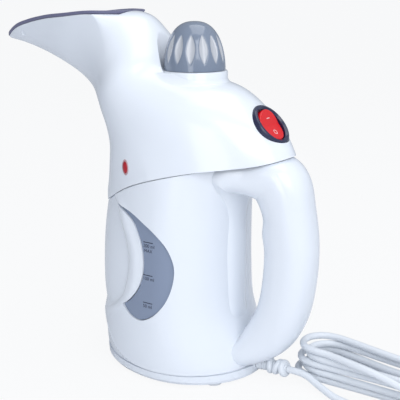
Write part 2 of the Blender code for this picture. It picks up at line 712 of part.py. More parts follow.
def make_cord():
    profile = [(0.0050, 0.0), (0.0050, 0.0030), (0.0040, 0.0045), (0.0031, CORD_EXIT.x - RELIEF_START)]
    relief = turned(profile, (RELIEF_START, 0, CORD_EXIT.z), (1, 0, 0), 20)
    add_object("strain_relief", relief, (0.80, 0.82, 0.86), 0.5)
    data = bpy.data.curves.new("power_cord", "CURVE")
    data.dimensions = "3D"
    data.bevel_depth = CORD_RADIUS
    data.bevel_resolution = 2
    data.use_fill_caps = True
    points = smooth_route(CORD_ROUTE, 2.4 * CORD_RADIUS * 2)
    line = data.splines.new("POLY")
    line.points.add(len(points) - 1)
    for place, point in zip(line.points, points):
        place.co = (*point, 1.0)
    cord = bpy.data.objects.new("power_cord", data)
    bpy.context.scene.collection.objects.link(cord)
    data.materials.append(material("power_cord", (0.80, 0.83, 0.88), 0.45))


def hank_outline():
    """A stadium around the hank's middle line."""
    along = (HANK_END - HANK_START).normalized()
    side = Vector((-along.y, along.x, 0))
    half = HANK_HALF_WIDTH
    length = (HANK_END - HANK_START).length
    outline = []
    for k in range(13):
        turn = math.pi / 2 + math.pi * k / 12
        spot = HANK_START + along * (half + half * math.cos(turn)) + side * half * math.sin(turn)
        outline.append(spot)
    for k in range(13):
        turn = -math.pi / 2 + math.pi * k / 12
        spot = HANK_START + along * (length - half + half * math.cos(turn)) + side * half * math.sin(turn)
        outline.append(spot)
    return outline


def tie_box(width, half, low, high):
    """A block across the hank where its tie goes."""
    along = (HANK_END - HANK_START).normalized() * (width / 2)
    side = Vector((-along.y, along.x, 0)).normalized() * half
    middle = HANK_START.lerp(HANK_END, TIE_AT)
    flat = [middle - along - side, middle + along - side, middle + along + side, middle - along + side]
    return loft([[point + Vector((0, 0, z)) for point in flat] for z in (low, high)])


def make_hank():
    flat = hank_outline()
    solid = loft([[p + Vector((0, 0, z)) for p in flat] for z in (HANK_BOTTOM, HANK_TOP)])
    hank = add_object("cord_hank", solid, (0.80, 0.83, 0.88), 0.45)
    slot = HANK_HALF_WIDTH - 0.0020
    notch = tie_box(TIE_WIDTH + 2 * GAP, HANK_HALF_WIDTH + 0.01, -0.01, 0.04)
    keep = tie_box(TIE_WIDTH + 0.004, slot - GAP, HANK_BOTTOM + 0.0016, HANK_TOP - 0.0016)
    notch = cutter("hank_notch_cut", notch)
    boolean(notch, cutter("hank_waist_keep", keep))
    boolean(hank, notch)
    tie = tie_box(TIE_WIDTH, slot + 0.0016, HANK_BOTTOM, HANK_TOP)
    tie = add_object("hank_tie", tie, (0.9, 0.9, 0.92), 0.5)
    hole = tie_box(TIE_WIDTH + 0.01, slot, HANK_BOTTOM + 0.0016 - GAP, HANK_TOP - 0.0016 + GAP)
    boolean(tie, cutter("hank_tie_cut", hole))


def make_plug():
    face = HANK_END.x + 0.0020
    profile = [
        (0.0040, 0.0), (0.0046, 0.0060), (0.0085, 0.0100), (PLUG_RADIUS_OUT, 0.0180),
        (PLUG_RADIUS_OUT, 0.0330), (PLUG_RADIUS_OUT - 0.001, 0.0340),
    ]
    start = (face, PLUG_Y, PLUG_RADIUS_OUT + 0.0003)
    add_object("plug_body", turned(profile, start, (1, 0, 0), 28), (0.80, 0.82, 0.86), 0.4)
    for i, side in enumerate((-1, 1)):
        profile = [(0.0020, 0.0343), (0.0020, 0.0510), (0.0012, 0.0530)]
        at = (face, PLUG_Y + side * 0.0075, PLUG_RADIUS_OUT + 0.0003)
        add_object(f"plug_pin_{i + 1}", turned(profile, at, (1, 0, 0), 14), (0.75, 0.70, 0.55), 0.25, 1.0)


def egg_ring(z, nose, rear, half, points=48):
    ring = []
    for k in range(points):
        angle = 2 * math.pi * k / points
        reach = rear if math.cos(angle) > 0 else nose
        ring.append((BODY_X + reach * math.cos(angle), half * math.sin(angle), z))
    return ring


def handle_loop(steps=4, points=20):
    """The D-shaped loop, as a closed tube with a squarish section."""
    count = len(HANDLE_STATIONS)
    rings = []
    for i in range(count * steps):
        before, here, after, later = (
            HANDLE_STATIONS[(i // steps + shift) % count] for shift in (-1, 0, 1, 2)
        )
        t = (i % steps) / steps
        x, z, deep, half = (
            through(values, t) for values in zip(before, here, after, later)
        )
        slope_x, slope_z = (
            0.5 * ((c - a) + 2 * (2 * a - 5 * b + 4 * c - d) * t + 3 * (3 * b - a - 3 * c + d) * t**2)
            for a, b, c, d in zip(before[:2], here[:2], after[:2], later[:2])
        )
        normal = Vector((slope_z, 0, -slope_x)).normalized()
        ring = []
        for k in range(points):
            turn = 2 * math.pi * k / points
            out = math.copysign(abs(math.cos(turn)) ** 0.85, math.cos(turn))
            side = math.copysign(abs(math.sin(turn)) ** 0.85, math.sin(turn))
            ring.append(Vector((x, half * side, z)) + normal * (deep * out))
        rings.append(ring)
    return loft(rings, closed=True)


def main():
    clear_scene()
    make_head()
    make_mouth()
    make_filler()
    make_switch()
    make_lamp()
    make_body()
    make_handle()
    make_inside()
    make_base()
    make_cord()
    make_hank()
    make_plug()


main()
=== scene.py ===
import json
import math

import bmesh
import bpy
from mathutils import Matrix, Vector
from mathutils.bvhtree import BVHTree


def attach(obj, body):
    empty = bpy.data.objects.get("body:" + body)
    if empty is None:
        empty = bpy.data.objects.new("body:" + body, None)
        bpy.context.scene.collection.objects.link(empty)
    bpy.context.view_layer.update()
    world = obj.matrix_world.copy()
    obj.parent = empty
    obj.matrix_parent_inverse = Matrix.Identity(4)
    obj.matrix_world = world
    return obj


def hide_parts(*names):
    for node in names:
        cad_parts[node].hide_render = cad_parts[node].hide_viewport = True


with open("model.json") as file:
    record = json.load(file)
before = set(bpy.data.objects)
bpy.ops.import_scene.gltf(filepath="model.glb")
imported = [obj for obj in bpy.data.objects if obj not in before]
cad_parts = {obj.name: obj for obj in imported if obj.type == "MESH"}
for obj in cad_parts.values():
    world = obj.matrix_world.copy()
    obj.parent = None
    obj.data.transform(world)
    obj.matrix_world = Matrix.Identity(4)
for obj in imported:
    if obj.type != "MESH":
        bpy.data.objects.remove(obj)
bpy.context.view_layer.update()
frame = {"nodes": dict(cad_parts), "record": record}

GAP = 0.0003

# Lower body: height, reach to the nose side, reach to the handle side, half width.
BODY_X = 0.0375
BODY_LOW = 0.0085
BODY_WALL = 0.0026
BODY_STATIONS = (
    (0.0085, 0.0675, 0.0535, 0.0540),
    (0.0130, 0.0688, 0.0535, 0.0548),
    (0.0240, 0.0695, 0.0490, 0.0550),
    (0.0460, 0.0705, 0.0400, 0.0548),
    (0.0720, 0.0705, 0.0380, 0.0540),
    (0.0980, 0.0690, 0.0380, 0.0530),
    (0.1210, 0.0660, 0.0390, 0.0520),
    (0.1440, 0.0615, 0.0430, 0.0500),
    (0.1700, 0.0580, 0.0480, 0.0470),
)

# Seam between body and head, as height over X.
SEAM = (
    (-0.0465, 0.1060),
    (-0.0115, 0.1220),
    (0.0155, 0.1360),
    (0.0375, 0.1440),
    (0.0635, 0.1503),
    (0.0885, 0.1540),
    (0.1055, 0.1567),
    (0.1175, 0.1605),
    (0.1335, 0.1680),
)

# Head sections about a line along Y: angle, underside and roof radius, half width,
# where it is widest (0 halfway up, 1 at the roof) and how far the roof is pinched.
FAN = Vector((-0.1265, 0.0, 0.105))
HEAD_WALL = 0.0026
HEAD_STATIONS = (
    (-8.0, 0.1000, 0.2440, 0.0510, -0.10, 0.28),
    (2.0, 0.0985, 0.2490, 0.0515, -0.10, 0.28),
    (10.0, 0.0995, 0.2505, 0.0512, -0.10, 0.28),
    (16.0, 0.1045, 0.2455, 0.0505, -0.12, 0.20),
    (21.0, 0.1100, 0.2350, 0.0495, -0.14, 0.05),
    (26.0, 0.1165, 0.2220, 0.0480, -0.14, 0.0),
    (31.0, 0.1210, 0.2030, 0.0455, -0.12, 0.0),
    (36.0, 0.1230, 0.1895, 0.0425, -0.05, 0.0),
    (40.0, 0.1235, 0.1895, 0.0400, 0.05, 0.0),
    (45.0, 0.1230, 0.1910, 0.0330, 0.10, 0.0),
    (50.0, 0.1218, 0.1895, 0.0290, 0.35, 0.0),
    (56.3, 0.1205, 0.1767, 0.0270, 0.90, 0.0),
    (64.2, 0.1193, 0.1610, 0.0240, 1.0, 0.0),
    (72.5, 0.1190, 0.1494, 0.0190, 1.0, 0.0),
    (79.8, 0.1198, 0.1412, 0.0150, 1.0, 0.0),
    (85.8, 0.1212, 0.1354, 0.0115, 1.0, 0.0),
    (91.3, 0.1228, 0.1290, 0.0065, 1.0, 0.0),
    (93.5, 0.1240, 0.1265, 0.0030, 1.0, 0.0),
)
MOUTH_FROM, MOUTH_TO, MOUTH_LIP = 52.0, 92.5, 0.0026

# Handle: closed centre line in X and Z, with the half depth and half width there.
HANDLE_STATIONS = (
    (0.0735, 0.1440, 0.0140, 0.0300),
    (0.0915, 0.1460, 0.0150, 0.0235),
    (0.1075, 0.1412, 0.0185, 0.0200),
    (0.1146, 0.1212, 0.0174, 0.0182),
    (0.1174, 0.0970, 0.0178, 0.0180),
    (0.1160, 0.0710, 0.0176, 0.0182),
    (0.1115, 0.0500, 0.0172, 0.0186),
    (0.1015, 0.0320, 0.0160, 0.0195),
    (0.0865, 0.0190, 0.0112, 0.0220),
    (0.0715, 0.0205, 0.0105, 0.0200),
    (0.0680, 0.0500, 0.0108, 0.0150),
    (0.0680, 0.0900, 0.0108, 0.0147),
    (0.0680, 0.1200, 0.0110, 0.0160),
)
GRIP_BUMP = (0.1070, 0.0075, 0.0016)

# Window of the water gauge as X and Z seen from the flank, and the soft step in front of it.
WINDOW_REAR = (
    (0.0050, 0.1235),
    (0.0202, 0.1194),
    (0.0315, 0.1138),
    (0.0408, 0.1078),
    (0.0485, 0.0995),
    (0.0528, 0.0892),
    (0.0536, 0.0800),
    (0.0518, 0.0690),
    (0.0475, 0.0588),
    (0.0400, 0.0502),
    (0.0305, 0.0452),
    (0.0220, 0.0456),
    (0.0155, 0.0492),
    (0.0128, 0.0530),
)
WINDOW_FRONT = (
    (0.0128, 0.0530),
    (0.0185, 0.0564),
    (0.0264, 0.0655),
    (0.0310, 0.0758),
    (0.0320, 0.0855),
    (0.0308, 0.0955),
    (0.0272, 0.1054),
    (0.0205, 0.1150),
    (0.0050, 0.1235),
)
RIDGE_EDGE = (
    (0.0330, -0.0330),
    (0.0385, -0.0152),
    (0.0548, 0.0093),
    (0.0700, 0.0170),
    (0.0847, 0.0191),
    (0.0980, 0.0165),
    (0.1126, 0.0092),
    (0.1240, 0.0030),
    (0.1420, -0.0200),
)
GAUGE_LINES = ((0.1012, "200 ml"), (0.0781, "100 ml"), (0.0583, "50 ml"))

# Filler neck and cap.
CAP_X, COLLAR_TOP, COLLAR_RADIUS = 0.0390, 0.2130, 0.0230
CAP_RADIUS, CAP_HEIGHT, CAP_FLUTES = 0.0214, 0.0325, 14
SEAL_RADIUS = 0.0190

# Rocker switch.
SWITCH = Vector((0.0995, 0.0, 0.1800))
SWITCH_TILT = math.radians(49.0)
BEZEL_RADIUS, BEZEL_BORE, BEZEL_DEPTH = 0.0156, 0.0123, 0.0070
ROCKER_RADIUS, ROCKER_PIVOT, ROCKER_LEAN = 0.0116, -0.0025, math.radians(7.0)

# Indicator lamp.
LAMP = Vector((0.0144, -0.0480, 0.1500))
LAMP_FACES = Vector((-0.256, -0.966, -0.017)).normalized()
LAMP_HALF = (0.0030, 0.0050)

# Cord, its hank and its plug.
CORD_DIAMETER = 0.0048
CORD_EXIT = Vector((0.1165, 0.0, 0.0090))
CORD_ROUTE = (
    (0.1168, 0.0000, 0.0090),
    (0.1240, 0.0000, 0.0090),
    (0.1320, -0.0008, 0.0082),
    (0.1440, -0.0050, 0.0050),
    (0.1580, -0.0105, 0.0030),
    (0.1750, -0.0135, 0.0026),
    (0.1950, -0.0142, 0.0026),
    (0.2100, -0.0142, 0.0026),
    (0.2250, -0.0138, 0.0026),
)
HANK_START = Vector((0.1140, 0.0225, 0.0))
HANK_END = Vector((0.2650, 0.0080, 0.0))
HANK_HALF_WIDTH = 0.0180
HANK_TURNS = 5
TIE_AT = 0.72
PLUG = Vector((0.2670, -0.0125, 0.0128))

# Camera and studio.
CAMERA_SIDE, CAMERA_TILT = math.radians(33.0), math.radians(90.0 - 14.4)
CAMERA_FROM, CAMERA_REACH, CAMERA_HEIGHT, CAMERA_LENS = 0.0435, 0.600, 0.275, 78.3
STUDIO_AIM, TOP_AIM = Vector((0.03, 0.0, 0.12)), Vector((0.03, 0.0, 0.15))
FLOOR_GLOW = 0.92

# Dimples near the tip of the beak.
DIMPLE, DIMPLE_FACES = (-0.1090, 0.0119, 0.2334), (-0.18, 0.91, -0.375)

# ---------------------------------------------------------------- camera and light


def place_camera():
    """Looks down on the near flank, from the handle's side."""
    data = bpy.data.cameras.new("camera")
    data.sensor_width = 36.0
    data.lens = CAMERA_LENS
    data.clip_start, data.clip_end = 0.01, 100.0
    camera = bpy.data.objects.new("camera", data)
    camera.location = (CAMERA_FROM + CAMERA_REACH * math.sin(CAMERA_SIDE),
                       -CAMERA_REACH * math.cos(CAMERA_SIDE), CAMERA_HEIGHT)
    camera.rotation_euler = (CAMERA_TILT, 0.0, CAMERA_SIDE)
    bpy.context.scene.collection.objects.link(camera)
    bpy.context.scene.camera = camera


def soft_box(name, place, size, power, aim=STUDIO_AIM):
    """A white area light of this size at place, turned to the object."""
    data = bpy.data.lights.new(name, "AREA")
    data.shape = "RECTANGLE"
    data.size, data.size_y = size
    data.energy = power
    box = bpy.data.objects.new(name, data)
    box.location = place
    box.rotation_euler = (aim - Vector(place)).to_track_quat("-Z", "Y").to_euler()
    bpy.context.scene.collection.objects.link(box)


def light_studio():
    """Soft boxes on the handle's side and above; the air is dimmer towards the nose."""
    bpy.context.scene.view_settings.view_transform = "Standard"
    world = bpy.data.worlds.new("studio_air")
    world.use_nodes = True
    tree = world.node_tree
    air = tree.nodes["Background"]
    air.inputs["Color"].default_value = (0.84, 0.90, 1.0, 1.0)
    where = tree.nodes.new("ShaderNodeTexCoord")
    aim = tree.nodes.new("ShaderNodeVectorMath")
    aim.operation = "DOT_PRODUCT"
    aim.inputs[1].default_value = (0.80, -0.30, 0.52)
    fade = tree.nodes.new("ShaderNodeMapRange")
    fade.inputs["From Min"].default_value = -0.9
    fade.inputs["From Max"].default_value = 0.7
    fade.inputs["To Min"].default_value = 0.20
    fade.inputs["To Max"].default_value = 0.70
    tree.links.new(where.outputs["Generated"], aim.inputs[0])
    tree.links.new(aim.outputs["Value"], fade.inputs["Value"])
    tree.links.new(fade.outputs["Result"], air.inputs["Strength"])
    bpy.context.scene.world = world
    soft_box("key_box", (0.85, -0.55, 0.75), (0.7, 0.7), 4.4)
    soft_box("top_box", (0.15, 0.10, 1.10), (0.9, 0.7), 3.0, aim=TOP_AIM)
    soft_box("front_box", (0.45, -1.20, 0.40), (0.4, 0.9), 2.4)


# ---------------------------------------------------------------- materials


def link(tree, source, target):
    tree.links.new(source, target)


def moulded_surface():
    """Injection-moulded plastic: faint drift of shade, patchy polish and a fine skin."""
    group = bpy.data.node_groups.new("moulded_surface", "ShaderNodeTree")
    face = group.interface
    face.new_socket("Tint", in_out="INPUT", socket_type="NodeSocketColor")
    for label, value in (("Drift", 0.04), ("Polish", 0.2), ("Skin", 0.02), ("Grain", 900.0)):
        face.new_socket(label, in_out="INPUT", socket_type="NodeSocketFloat").default_value = value
    face.new_socket("Color", in_out="OUTPUT", socket_type="NodeSocketColor")
    face.new_socket("Roughness", in_out="OUTPUT", socket_type="NodeSocketFloat")
    face.new_socket("Normal", in_out="OUTPUT", socket_type="NodeSocketVector")
    entry = group.nodes.new("NodeGroupInput")
    leave = group.nodes.new("NodeGroupOutput")
    where = group.nodes.new("ShaderNodeTexCoord")
    broad = group.nodes.new("ShaderNodeTexNoise")
    broad.inputs["Scale"].default_value = 14.0
    broad.inputs["Detail"].default_value = 3.0
    link(group, where.outputs["Object"], broad.inputs["Vector"])
    dark = group.nodes.new("ShaderNodeMix")
    dark.data_type, dark.blend_type = "RGBA", "MULTIPLY"
    shade = group.nodes.new("ShaderNodeMapRange")
    shade.inputs["To Min"].default_value = 0.75
    shade.inputs["To Max"].default_value = 1.0
    link(group, broad.outputs["Fac"], shade.inputs["Value"])
    link(group, entry.outputs["Drift"], dark.inputs["Factor"])
    link(group, entry.outputs["Tint"], dark.inputs["A"])
    link(group, shade.outputs["Result"], dark.inputs["B"])
    link(group, dark.outputs["Result"], leave.inputs["Color"])
    patch = group.nodes.new("ShaderNodeTexNoise")
    patch.inputs["Scale"].default_value = 60.0
    link(group, where.outputs["Object"], patch.inputs["Vector"])
    spread = group.nodes.new("ShaderNodeMath")
    spread.operation = "MULTIPLY_ADD"
    spread.inputs[1].default_value = 0.10
    link(group, patch.outputs["Fac"], spread.inputs[0])
    link(group, entry.outputs["Polish"], spread.inputs[2])
    link(group, spread.outputs["Value"], leave.inputs["Roughness"])
    fine = group.nodes.new("ShaderNodeTexNoise")
    fine.inputs["Detail"].default_value = 2.0
    link(group, where.outputs["Object"], fine.inputs["Vector"])
    link(group, entry.outputs["Grain"], fine.inputs["Scale"])
    bump = group.nodes.new("ShaderNodeBump")
    bump.inputs["Distance"].default_value = 0.0004
    link(group, fine.outputs["Fac"], bump.inputs["Height"])
    link(group, entry.outputs["Skin"], bump.inputs["Strength"])
    link(group, bump.outputs["Normal"], leave.inputs["Normal"])
    return group


SURFACE = moulded_surface()


def plastic(name, tint, polish=0.2, drift=0.05, skin=0.02, grain=900.0, **sockets):
    """A material on the moulded surface. Further sockets of the shader are given by name."""
    made = bpy.data.materials.new(name)
    made.use_nodes = True
    tree = made.node_tree
    shader = tree.nodes["Principled BSDF"]
    surface = tree.nodes.new("ShaderNodeGroup")
    surface.node_tree = SURFACE
    surface.inputs["Tint"].default_value = (*tint, 1.0)
    surface.inputs["Drift"].default_value = drift
    surface.inputs["Polish"].default_value = polish
    surface.inputs["Skin"].default_value = skin
    surface.inputs["Grain"].default_value = grain
    link(tree, surface.outputs["Color"], shader.inputs["Base Color"])
    link(tree, surface.outputs["Roughness"], shader.inputs["Roughness"])
    link(tree, surface.outputs["Normal"], shader.inputs["Normal"])
    for label, value in sockets.items():
        shader.inputs[label.replace("_", " ")].default_value = value
    return made


WHITE = plastic("shell_white", (0.83, 0.87, 0.93), 0.16, Coat_Weight=0.35, Coat_Roughness=0.12)
RIM = plastic("mouth_rim_slate", (0.17, 0.17, 0.27), 0.30)
PLATE = plastic("steam_plate_grey", (0.52, 0.55, 0.60), 0.35)
SMOKE = plastic("cap_smoke_blue", (0.235, 0.285, 0.375), 0.10, Coat_Weight=0.6, Coat_Roughness=0.04,
                Transmission_Weight=0.15)
WINDOW = plastic("gauge_window_blue", (0.29, 0.355, 0.49), 0.12, Coat_Weight=0.4, Coat_Roughness=0.08,
                 Transmission_Weight=0.20)
NAVY = plastic("bezel_navy", (0.012, 0.017, 0.060), 0.22, Coat_Weight=0.4)
RED = plastic("rocker_red", (0.76, 0.002, 0.006), 0.30, Coat_Weight=0.12)
LENS = plastic("lens_red", (0.42, 0.0, 0.010), 0.30, Coat_Weight=0.15)
LENS_RIM = plastic("lens_rim_clear", (0.80, 0.52, 0.55), 0.2, Transmission_Weight=0.3)
MARK = plastic("rocker_mark_pale", (0.92, 0.62, 0.60), 0.5, drift=0.0)
INK = plastic("gauge_ink", (0.012, 0.016, 0.040), 0.5, drift=0.0)
CORD = plastic("cord_white_vinyl", (0.80, 0.835, 0.88), 0.34, drift=0.10, skin=0.05, grain=600.0)
TIE = plastic("tie_white", (0.86, 0.87, 0.89), 0.45)
SEAL = plastic("seal_grey_rubber", (0.55, 0.56, 0.58), 0.6, skin=0.08)
SILICONE = plastic("silicone_red", (0.42, 0.12, 0.07), 0.6)
FOOT = plastic("foot_pale_rubber", (0.62, 0.64, 0.67), 0.7, skin=0.15, grain=400.0)
BLACK = plastic("switch_black", (0.02, 0.02, 0.023), 0.4)
INNER = plastic("inner_natural", (0.72, 0.73, 0.70), 0.4)
TANK = plastic("tank_clear_blue", (0.42, 0.49, 0.58), 0.18, Transmission_Weight=0.4)
CERAMIC = plastic("fuse_ceramic", (0.72, 0.67, 0.55), 0.35)
BULB = plastic("bulb_glass", (0.90, 0.60, 0.42), 0.08, Transmission_Weight=0.7)
STEEL = plastic("bright_steel", (0.62, 0.62, 0.64), 0.22, drift=0.15, skin=0.06, Metallic=1.0)
CAST = plastic("cast_aluminium", (0.55, 0.56, 0.58), 0.42, drift=0.2, skin=0.2, grain=300.0, Metallic=1.0)
PIN = plastic("pin_nickel", (0.70, 0.64, 0.48), 0.18, drift=0.1, Metallic=1.0)



def paint_scallop_highlights(material):
    """Painted highlight: the scallops of the smoky dome are painted paler where they would catch the
    light.
    """
    tree = material.node_tree
    shader = tree.nodes["Principled BSDF"]
    plain = shader.inputs["Base Color"].links[0].from_socket
    mask = tree.nodes.new("ShaderNodeAttribute")
    mask.attribute_name = "scallop"
    mixed = tree.nodes.new("ShaderNodeMix")
    mixed.data_type = "RGBA"
    # The pale colour of the painted highlight on the scallops.
    mixed.inputs["B"].default_value = (0.60, 0.62, 0.66, 1.0)
    link(tree, mask.outputs["Fac"], mixed.inputs["Factor"])
    link(tree, plain, mixed.inputs["A"])
    link(tree, mixed.outputs["Result"], shader.inputs["Base Color"])


paint_scallop_highlights(SMOKE)

SLOT_FINISH = {
    "white_shell": WHITE, "grey_blue": RIM, "steam_plate": PLATE, "window": WINDOW, "navy": NAVY,
    "red_rocker": RED, "red_lens": LENS, "lamp_glass": BULB, "steel": STEEL, "boiler": CAST, "tank": TANK,
    "inner_plastic": INNER, "black_plastic": BLACK, "silicone": SILICONE, "seal": SEAL,
    "foot_rubber": FOOT, "ceramic_fuse": CERAMIC, "cord": CORD, "brass_pin": PIN,
}

# ---------------------------------------------------------------- shaping


def spline(stations, at):
    """Catmull-Rom value of the rest of the columns at a value of the first one."""
    last = len(stations) - 1
    i = 0
    while i < last - 1 and at > stations[i + 1][0]:
        i += 1
    p1, p2 = stations[i], stations[i + 1]
    p0 = stations[max(i - 1, 0)]
    p3 = stations[min(i + 2, last)]
    span = p2[0] - p1[0]
    t = min(max((at - p1[0]) / span, 0.0), 1.0)
    values = []
    for k in range(1, len(p1)):
        m1 = (p2[k] - p0[k]) / (p2[0] - p0[0]) * span
        m2 = (p3[k] - p1[k]) / (p3[0] - p1[0]) * span
        values.append(
            (2 * t**3 - 3 * t**2 + 1) * p1[k]
            + (t**3 - 2 * t**2 + t) * m1
            + (3 * t**2 - 2 * t**3) * p2[k]
            + (t**3 - t**2) * m2
        )
    return values


def through(values, t):
    """Catmull-Rom value between the middle two of four values, t of the way along."""
    a, b, c, d = values
    square = 2 * a - 5 * b + 4 * c - d
    cube = 3 * b - a - 3 * c + d
    return 0.5 * (2 * b + (c - a) * t + square * t**2 + cube * t**3)


def step(at, low, high):
    """0 below low, 1 above high and a smooth rise between."""
    t = min(max((at - low) / (high - low), 0.0), 1.0)
    return t * t * (3 - 2 * t)


def rolled_sheet(place, around, along, closed_along=False):
    """A sheet of quads rolled up: place(u, v) says where each point goes, u once around, v end to end."""
    sheet = bmesh.new()
    bmesh.ops.create_grid(sheet, x_segments=around, y_segments=along, size=0.5)
    for vert in sheet.verts:
        vert.co = place(vert.co.x + 0.5, vert.co.y + 0.5)
    bmesh.ops.remove_doubles(sheet, verts=sheet.verts, dist=1e-6)
    if not closed_along:
        rims = [edge for edge in sheet.edges if edge.is_boundary]
        if rims:
            bmesh.ops.holes_fill(sheet, edges=rims, sides=0)
    bmesh.ops.recalc_face_normals(sheet, faces=sheet.faces)
    return sheet


def spun(profile, centre, direction, steps=48, ring=False):
    """A turned shape. The profile is (radius, height) about a direction through centre."""
    axis = Vector(direction).normalized()
    across = Vector((0, 1, 0)).cross(axis)
    across = across.normalized() if across.length > 0.2 else Vector((1, 0, 0))
    shape = bmesh.new()
    verts = [shape.verts.new(across * radius + axis * height) for radius, height in profile]
    edges = [shape.edges.new(pair) for pair in zip(verts, verts[1:])]
    if ring:
        edges.append(shape.edges.new((verts[-1], verts[0])))
    bmesh.ops.spin(shape, geom=verts + edges, cent=(0, 0, 0), axis=axis, dvec=(0, 0, 0),
                   angle=2 * math.pi, steps=steps, use_merge=True, use_duplicate=False)
    bmesh.ops.remove_doubles(shape, verts=shape.verts, dist=1e-6)
    bmesh.ops.translate(shape, verts=shape.verts, vec=Vector(centre))
    bmesh.ops.recalc_face_normals(shape, faces=shape.faces)
    return shape


def prism(outline, half_width):
    """A solid with this XZ outline, reaching half_width to each side of the XZ plane."""
    solid = bmesh.new()
    verts = [solid.verts.new((x, -half_width, z)) for x, z in outline]
    face = solid.faces.new(verts)
    pushed = bmesh.ops.extrude_face_region(solid, geom=[face])["geom"]
    moved = [item for item in pushed if isinstance(item, bmesh.types.BMVert)]
    bmesh.ops.translate(solid, verts=moved, vec=(0, 2 * half_width, 0))
    bmesh.ops.recalc_face_normals(solid, faces=solid.faces)
    return solid


def carved(target, tool, operation="DIFFERENCE"):
    """The target bmesh with the tool cut from it, joined to it or kept in common with it."""
    pair = []
    for label, shape in (("carving", target), ("tool", tool)):
        data = bpy.data.meshes.new(label)
        shape.to_mesh(data)
        shape.free()
        made = bpy.data.objects.new(label, data)
        bpy.context.scene.collection.objects.link(made)
        pair.append(made)
    cut = pair[0].modifiers.new("cut", "BOOLEAN")
    cut.operation, cut.solver, cut.object = operation, "EXACT", pair[1]
    graph = bpy.context.evaluated_depsgraph_get()
    graph.update()
    result = bmesh.new()
    result.from_object(pair[0], graph)
    for made in pair:
        data = made.data
        bpy.data.objects.remove(made)
        bpy.data.meshes.remove(data)
    return result


def joined(shapes):
    whole = bmesh.new()
    for shape in shapes:
        data = bpy.data.meshes.new("joining")
        shape.to_mesh(data)
        shape.free()
        whole.from_mesh(data)
        bpy.data.meshes.remove(data)
    return whole


def finished(name, shape, finish, replaces=(), body="steamer", sharp=32.0):
    """Turns a bmesh into a piece that rides on its body and stands for its nodes."""
    data = bpy.data.meshes.new(name)
    shape.to_mesh(data)
    shape.free()
    piece = bpy.data.objects.new(name, data)
    bpy.context.scene.collection.objects.link(piece)
    data.materials.append(finish)
    data.polygons.foreach_set("use_smooth", [True] * len(data.polygons))
    data.set_sharp_from_angle(angle=math.radians(sharp))
    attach(piece, body)
    if replaces:
        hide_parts(*replaces)
    return piece


# ---------------------------------------------------------------- cord


def hank_point(turns):
    """Where the cord's middle is after this many turns of the hank, from its far end's near corner."""
    along = (HANK_END - HANK_START).normalized()
    side = Vector((-along.y, along.x, 0.0))
    radius = HANK_HALF_WIDTH - CORD_DIAMETER / 2
    whole = int(min(turns, HANK_TURNS - 1e-9))
    in_turn = turns - whole
    tuck = (0.0, 0.0060, 0.0020, 0.0085, 0.0035)[whole % 5]
    slack = (0.0035, 0.0010, 0.0055, 0.0020, 0.0045)[whole % 5]
    far = HANK_END - along * HANK_HALF_WIDTH
    near = HANK_START + along * (HANK_HALF_WIDTH + tuck)
    run = (far - near).length
    arc = math.pi * radius
    travelled = in_turn * (2 * run + 2 * arc)
    height = CORD_DIAMETER / 2 + 0.0002 + turns * (CORD_DIAMETER + 0.0001)
    last = whole == HANK_TURNS - 1
    if travelled < arc:
        turn = travelled / radius
        spot = far + along * (math.sin(turn) * radius) - side * (math.cos(turn) * radius)
    elif travelled < arc + run:
        t = (travelled - arc) / run
        spot = far.lerp(near, t) + side * (radius - slack * math.sin(math.pi * t) ** 2)
    elif travelled < 2 * arc + run:
        turn = (travelled - arc - run) / radius
        spot = near - along * (math.sin(turn) * radius) + side * (math.cos(turn) * radius)
    else:
        t = (travelled - 2 * arc - run) / run
        spot = near.lerp(far, t)
        if last:
            spot -= side * (radius + 0.0054 * step(t, 0.05, 0.40))
            height -= 0.0125 * step(t, 0.30, 0.95)
        else:
            spot -= side * (radius - 0.6 * slack * math.sin(math.pi * t) ** 2)
    return spot + Vector((0, 0, height))


def smooth_curve(points, spacing):
    """Points along a Catmull-Rom curve through these ones."""
    fine = []
    for i in range(len(points) - 1):
        p0, p1 = points[max(i - 1, 0)], points[i]
        p2, p3 = points[i + 1], points[min(i + 2, len(points) - 1)]
        parts = max(int((p2 - p1).length / spacing), 1)
        for k in range(parts):
            t = k / parts
            fine.append(Vector([through(values, t) for values in zip(p0, p1, p2, p3)]))
    fine.append(points[-1])
    return fine


def cord_points():
    points = [Vector(point) for point in CORD_ROUTE]
    points += [Vector((0.2360, -0.0118, 0.0026)), Vector((0.2445, -0.0082, 0.0026))]
    steps = 32 * HANK_TURNS
    points += [hank_point(k / 32) for k in range(1, steps + 1)]
    points += [Vector((0.2600, PLUG.y + 0.0005, 0.0129)), PLUG + Vector((0.0060, 0, 0))]
    return smooth_curve(points, 0.0030)


def tied_band():
    """The strap round the hank: a flat rounded ring standing across it."""
    along = (HANK_END - HANK_START).normalized()
    side = Vector((-along.y, along.x, 0.0))
    middle = HANK_START.lerp(HANK_END, TIE_AT) - side * 0.0026 + Vector((0, 0, 0.0140))
    wide, high = HANK_HALF_WIDTH + 0.0036, 0.0139

    def place(u, v):
        turn, about = 2 * math.pi * u, 2 * math.pi * v
        out = Vector((math.copysign(abs(math.cos(turn)) ** 0.45, math.cos(turn)) * wide,
                      math.copysign(abs(math.sin(turn)) ** 0.45, math.sin(turn)) * high))
        thick = 0.0007 * math.cos(about)
        flat = math.copysign(abs(math.sin(about)) ** 0.5, math.sin(about)) * 0.0038
        out *= 1 + thick / out.length
        return middle + side * out.x + Vector((0, 0, out.y)) + along * flat

    return rolled_sheet(place, 72, 16, closed_along=True)


